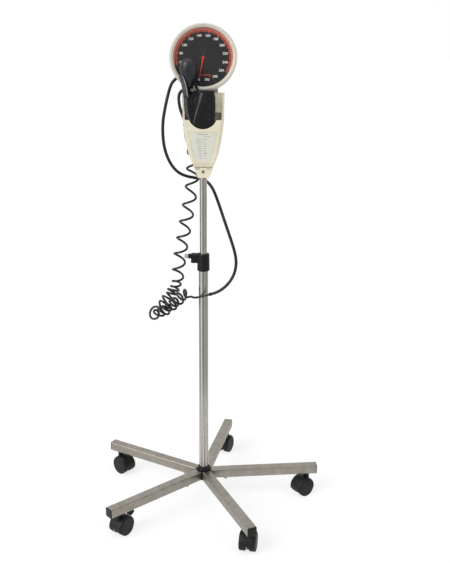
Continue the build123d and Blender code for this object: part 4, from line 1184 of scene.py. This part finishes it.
class GAUGESTAND_OT_cuff(bpy.types.Operator):
    """Folded nylon cuff in the pocket, its taped edges, stitching and strap end"""

    bl_idname = "gaugestand.cuff"
    bl_label = "Cuff"

    def execute(self, context):
        layers = bmesh.new()
        for rows, corner in CUFF_LAYERS:
            loops = []
            spans = [(low[0], high[0] - low[0]) for low, high in zip(rows, rows[1:])]
            for level in [low + rise * n / 5 for low, rise in spans for n in range(5)] + [rows[-1][0]]:
                outline = rectangle(*[between(rows, level, n) for n in range(1, 5)])
                loops.append([(x, y, level) for x, y in rounded(outline, corner, 5)])
            skin(layers, loops)
        cuff = finish_piece("folded_cuff", layers, ["cuff_cloth"], "mast", ["cuff"], "cuff_nylon", sharp=80)
        remesh = cuff.modifiers.new("Remesh", "REMESH")
        remesh.mode = "VOXEL"
        remesh.voxel_size = 0.0028
        remesh.use_smooth_shade = True
        apply_modifiers(cuff)
        swell(cuff, 3, CUFF_PUFF)
        subdivided(cuff)
        # Small creases, long ones up the folds and finer ones across, and the pressed pleats
        for vertex in cuff.data.vertices:
            x, y, z = vertex.co * 1000
            crease = noise.noise((x / 8, y / 10, z / 26)) * 0.8 + noise.noise((x / 5, y / 5, z / 7 + 9)) * 0.3
            crease *= 1.0 if z > 1080 else 0.5
            if vertex.normal.y < -0.3:
                crease += pleat(x, z)
            vertex.co += vertex.normal * (crease / 1000)

        # Bound edges of the flap and of the roll, paler than the cloth: partly real binding and partly painted
        # highlight, the roll's along its lit edge and the flap's, wider at its top, as the flap's lit band
        face = BVHTree.FromObject(cuff, context.evaluated_depsgraph_get())
        tape = bmesh.new()
        levels = [1050 + n * 2.0 for n in range(42)]
        for rows, inset, slim, growth, heights in (
            (CUFF_FLAP, 0.6, 2.6, 4.4, levels),
            (CUFF_ROLL, 2.4, 5.6, 1.4, levels[5:36]),
        ):
            loops = []
            for level in heights:
                edge = between(rows, level, 1) + inset
                width = slim + growth * max(0, (level - 1060) / 72)
                loops.append(tape_loop([cuff_surface(face, edge + width * n / 4, level, 0.75) for n in range(5)]))
            skin(tape, loops)
        finish_piece("cuff_edge_tape", tape, ["edge_tape"], "mast", (), "cuff_nylon", sharp=50)

        thread = bmesh.new()
        rows = [[(between(CUFF_FLAP, level, 1) + 9.5, level) for level in levels]]
        rows.append([(26.5, level) for level in levels])
        rows.append([(-2 + n * 2, 1066) for n in range(14)])
        for row in rows:
            for ends in zip(row[::2], row[1::2]):
                start, finish = [cuff_surface(face, x, z, 0.35) for x, z in ends]
                length = (finish - start).length
                profile = [(0.05, 0), (0.38, 0.35), (0.38, length - 0.35), (0.05, length)]
                turn(thread, profile, 8, False, place=look_along(start, finish - start, (0, 1, 0)))
        finish_piece("cuff_stitches", thread, ["thread_grey"], "mast", (), "cuff_nylon", sharp=60)

        # Strap end: doubled webbing that stands up beside the bulb, its tip rounded
        strap = bmesh.new()
        line = [Vector(point) for point in STRAP_LINE]
        sections = [(low.lerp(high, n / 4), STRAP_HALF) for low, high in zip(line, line[1:]) for n in range(4)]
        for share, half in ((0, STRAP_HALF), (0.4, 5.2), (0.8, 3.8), (1, 2.2)):
            sections.append((line[-1] + Vector((-0.6, -0.3, 3.2)) * share, half))
        skin(strap, [strap_section(centre, half) for centre, half in sections])
        skin(strap, [strap_section(centre, half, True) for centre, half in sections], slot=1)
        # Bound edge of the folded corner, in the pale binding: a painted highlight line along the fold
        loops = []
        for n in range(9):
            x, level = -25.2 + n * 1.1, 1152.5 - n * 1.9
            loops.append(tape_loop([cuff_surface(face, x + side, level + side, 0.6) for side in (-0.8, 0.8)]))
        skin(strap, loops, slot=1)
        finish_piece("cuff_strap_end", strap, ["edge_tape", "binding_pale"], "mast", (), "cuff_nylon", sharp=50)

        leaf = bmesh.new()
        outline = rectangle(-31, -21, -0.5, 0.5)
        skin(leaf, [[(x, y + depth, level) for x, y in outline] for level, depth in LEAF_LINE])
        finish_piece("cuff_inner_layer", leaf, ["cuff_cloth"], "mast", (), "cuff_nylon", sharp=50)
        return {"FINISHED"}


class GAUGESTAND_OT_bulb(bpy.types.Operator):
    """Inflation bulb with its valve and release screw"""

    bl_idname = "gaugestand.bulb"
    bl_label = "Bulb"

    def execute(self, context):
        profile = [(0.01, 1146.2), (6.2, 1146), (7, 1146.6), (7.3, 1149), (8.4, 1153.5), (11.2, 1159.5)]
        profile += [(14.8, 1166.2), (17.9, 1173.2), (20, 1180.6), (20.9, 1187.6), (20.9, 1193), (19.8, 1199.6)]
        profile += [(17.4, 1205.2), (13.6, 1209.6), (8.8, 1212.6), (4, 1213.9), (0.01, 1214.2)]
        look = ("bulb_rubber", "mast", "inflation_bulb", "bulb_rubber")
        subdivided(turned_piece("squeeze_bulb", profile, 64, False, *look, foot=BULB_AXIS, sharp=80))
        dress_node("bulb_valve", "nylon_black", edge=0.3)
        dress_node("valve_screw", "nickel_fitting", edge=0.2)
        return {"FINISHED"}


class GAUGESTAND_PT_panel(bpy.types.Panel):
    """Buttons for each group of pieces and the settings they use"""

    bl_label = "Gauge stand"
    bl_idname = "GAUGESTAND_PT_panel"
    bl_space_type = "VIEW_3D"
    bl_region_type = "UI"
    bl_category = "Gauge stand"

    def draw(self, context):
        for group in SETTINGS:
            settings = getattr(context.scene, group)
            box = self.layout.box()
            for name in settings.bl_rna.properties.keys():
                if name not in ("rna_type", "name"):
                    box.prop(settings, name)
        for operator in OPERATORS:
            self.layout.operator(operator.bl_idname)


OPERATORS = [
    GAUGESTAND_OT_stage,
    GAUGESTAND_OT_tubes,
    GAUGESTAND_OT_base,
    GAUGESTAND_OT_poles,
    GAUGESTAND_OT_casters,
    GAUGESTAND_OT_holder,
    GAUGESTAND_OT_gauge,
    GAUGESTAND_OT_dial,
    GAUGESTAND_OT_cuff,
    GAUGESTAND_OT_bulb,
]
SETTINGS = {
    "gauge_stand_finishes": FinishSettings,
    "gauge_stand_tubes": TubeSettings,
    "gauge_stand_stage": StageSettings,
}
CLASSES = [*SETTINGS.values(), *OPERATORS, GAUGESTAND_PT_panel]


def register():
    for item in CLASSES:
        bpy.utils.register_class(item)
    for name, group in SETTINGS.items():
        setattr(bpy.types.Scene, name, PointerProperty(type=group))


def unregister():
    for name in SETTINGS:
        delattr(bpy.types.Scene, name)
    for item in reversed(CLASSES):
        bpy.utils.unregister_class(item)


def main():
    register()
    make_finishes(bpy.context.scene.gauge_stand_finishes)
    for operator in OPERATORS:
        getattr(bpy.ops.gaugestand, operator.bl_idname.split(".")[1])()


if __name__ == "__main__":
    main()
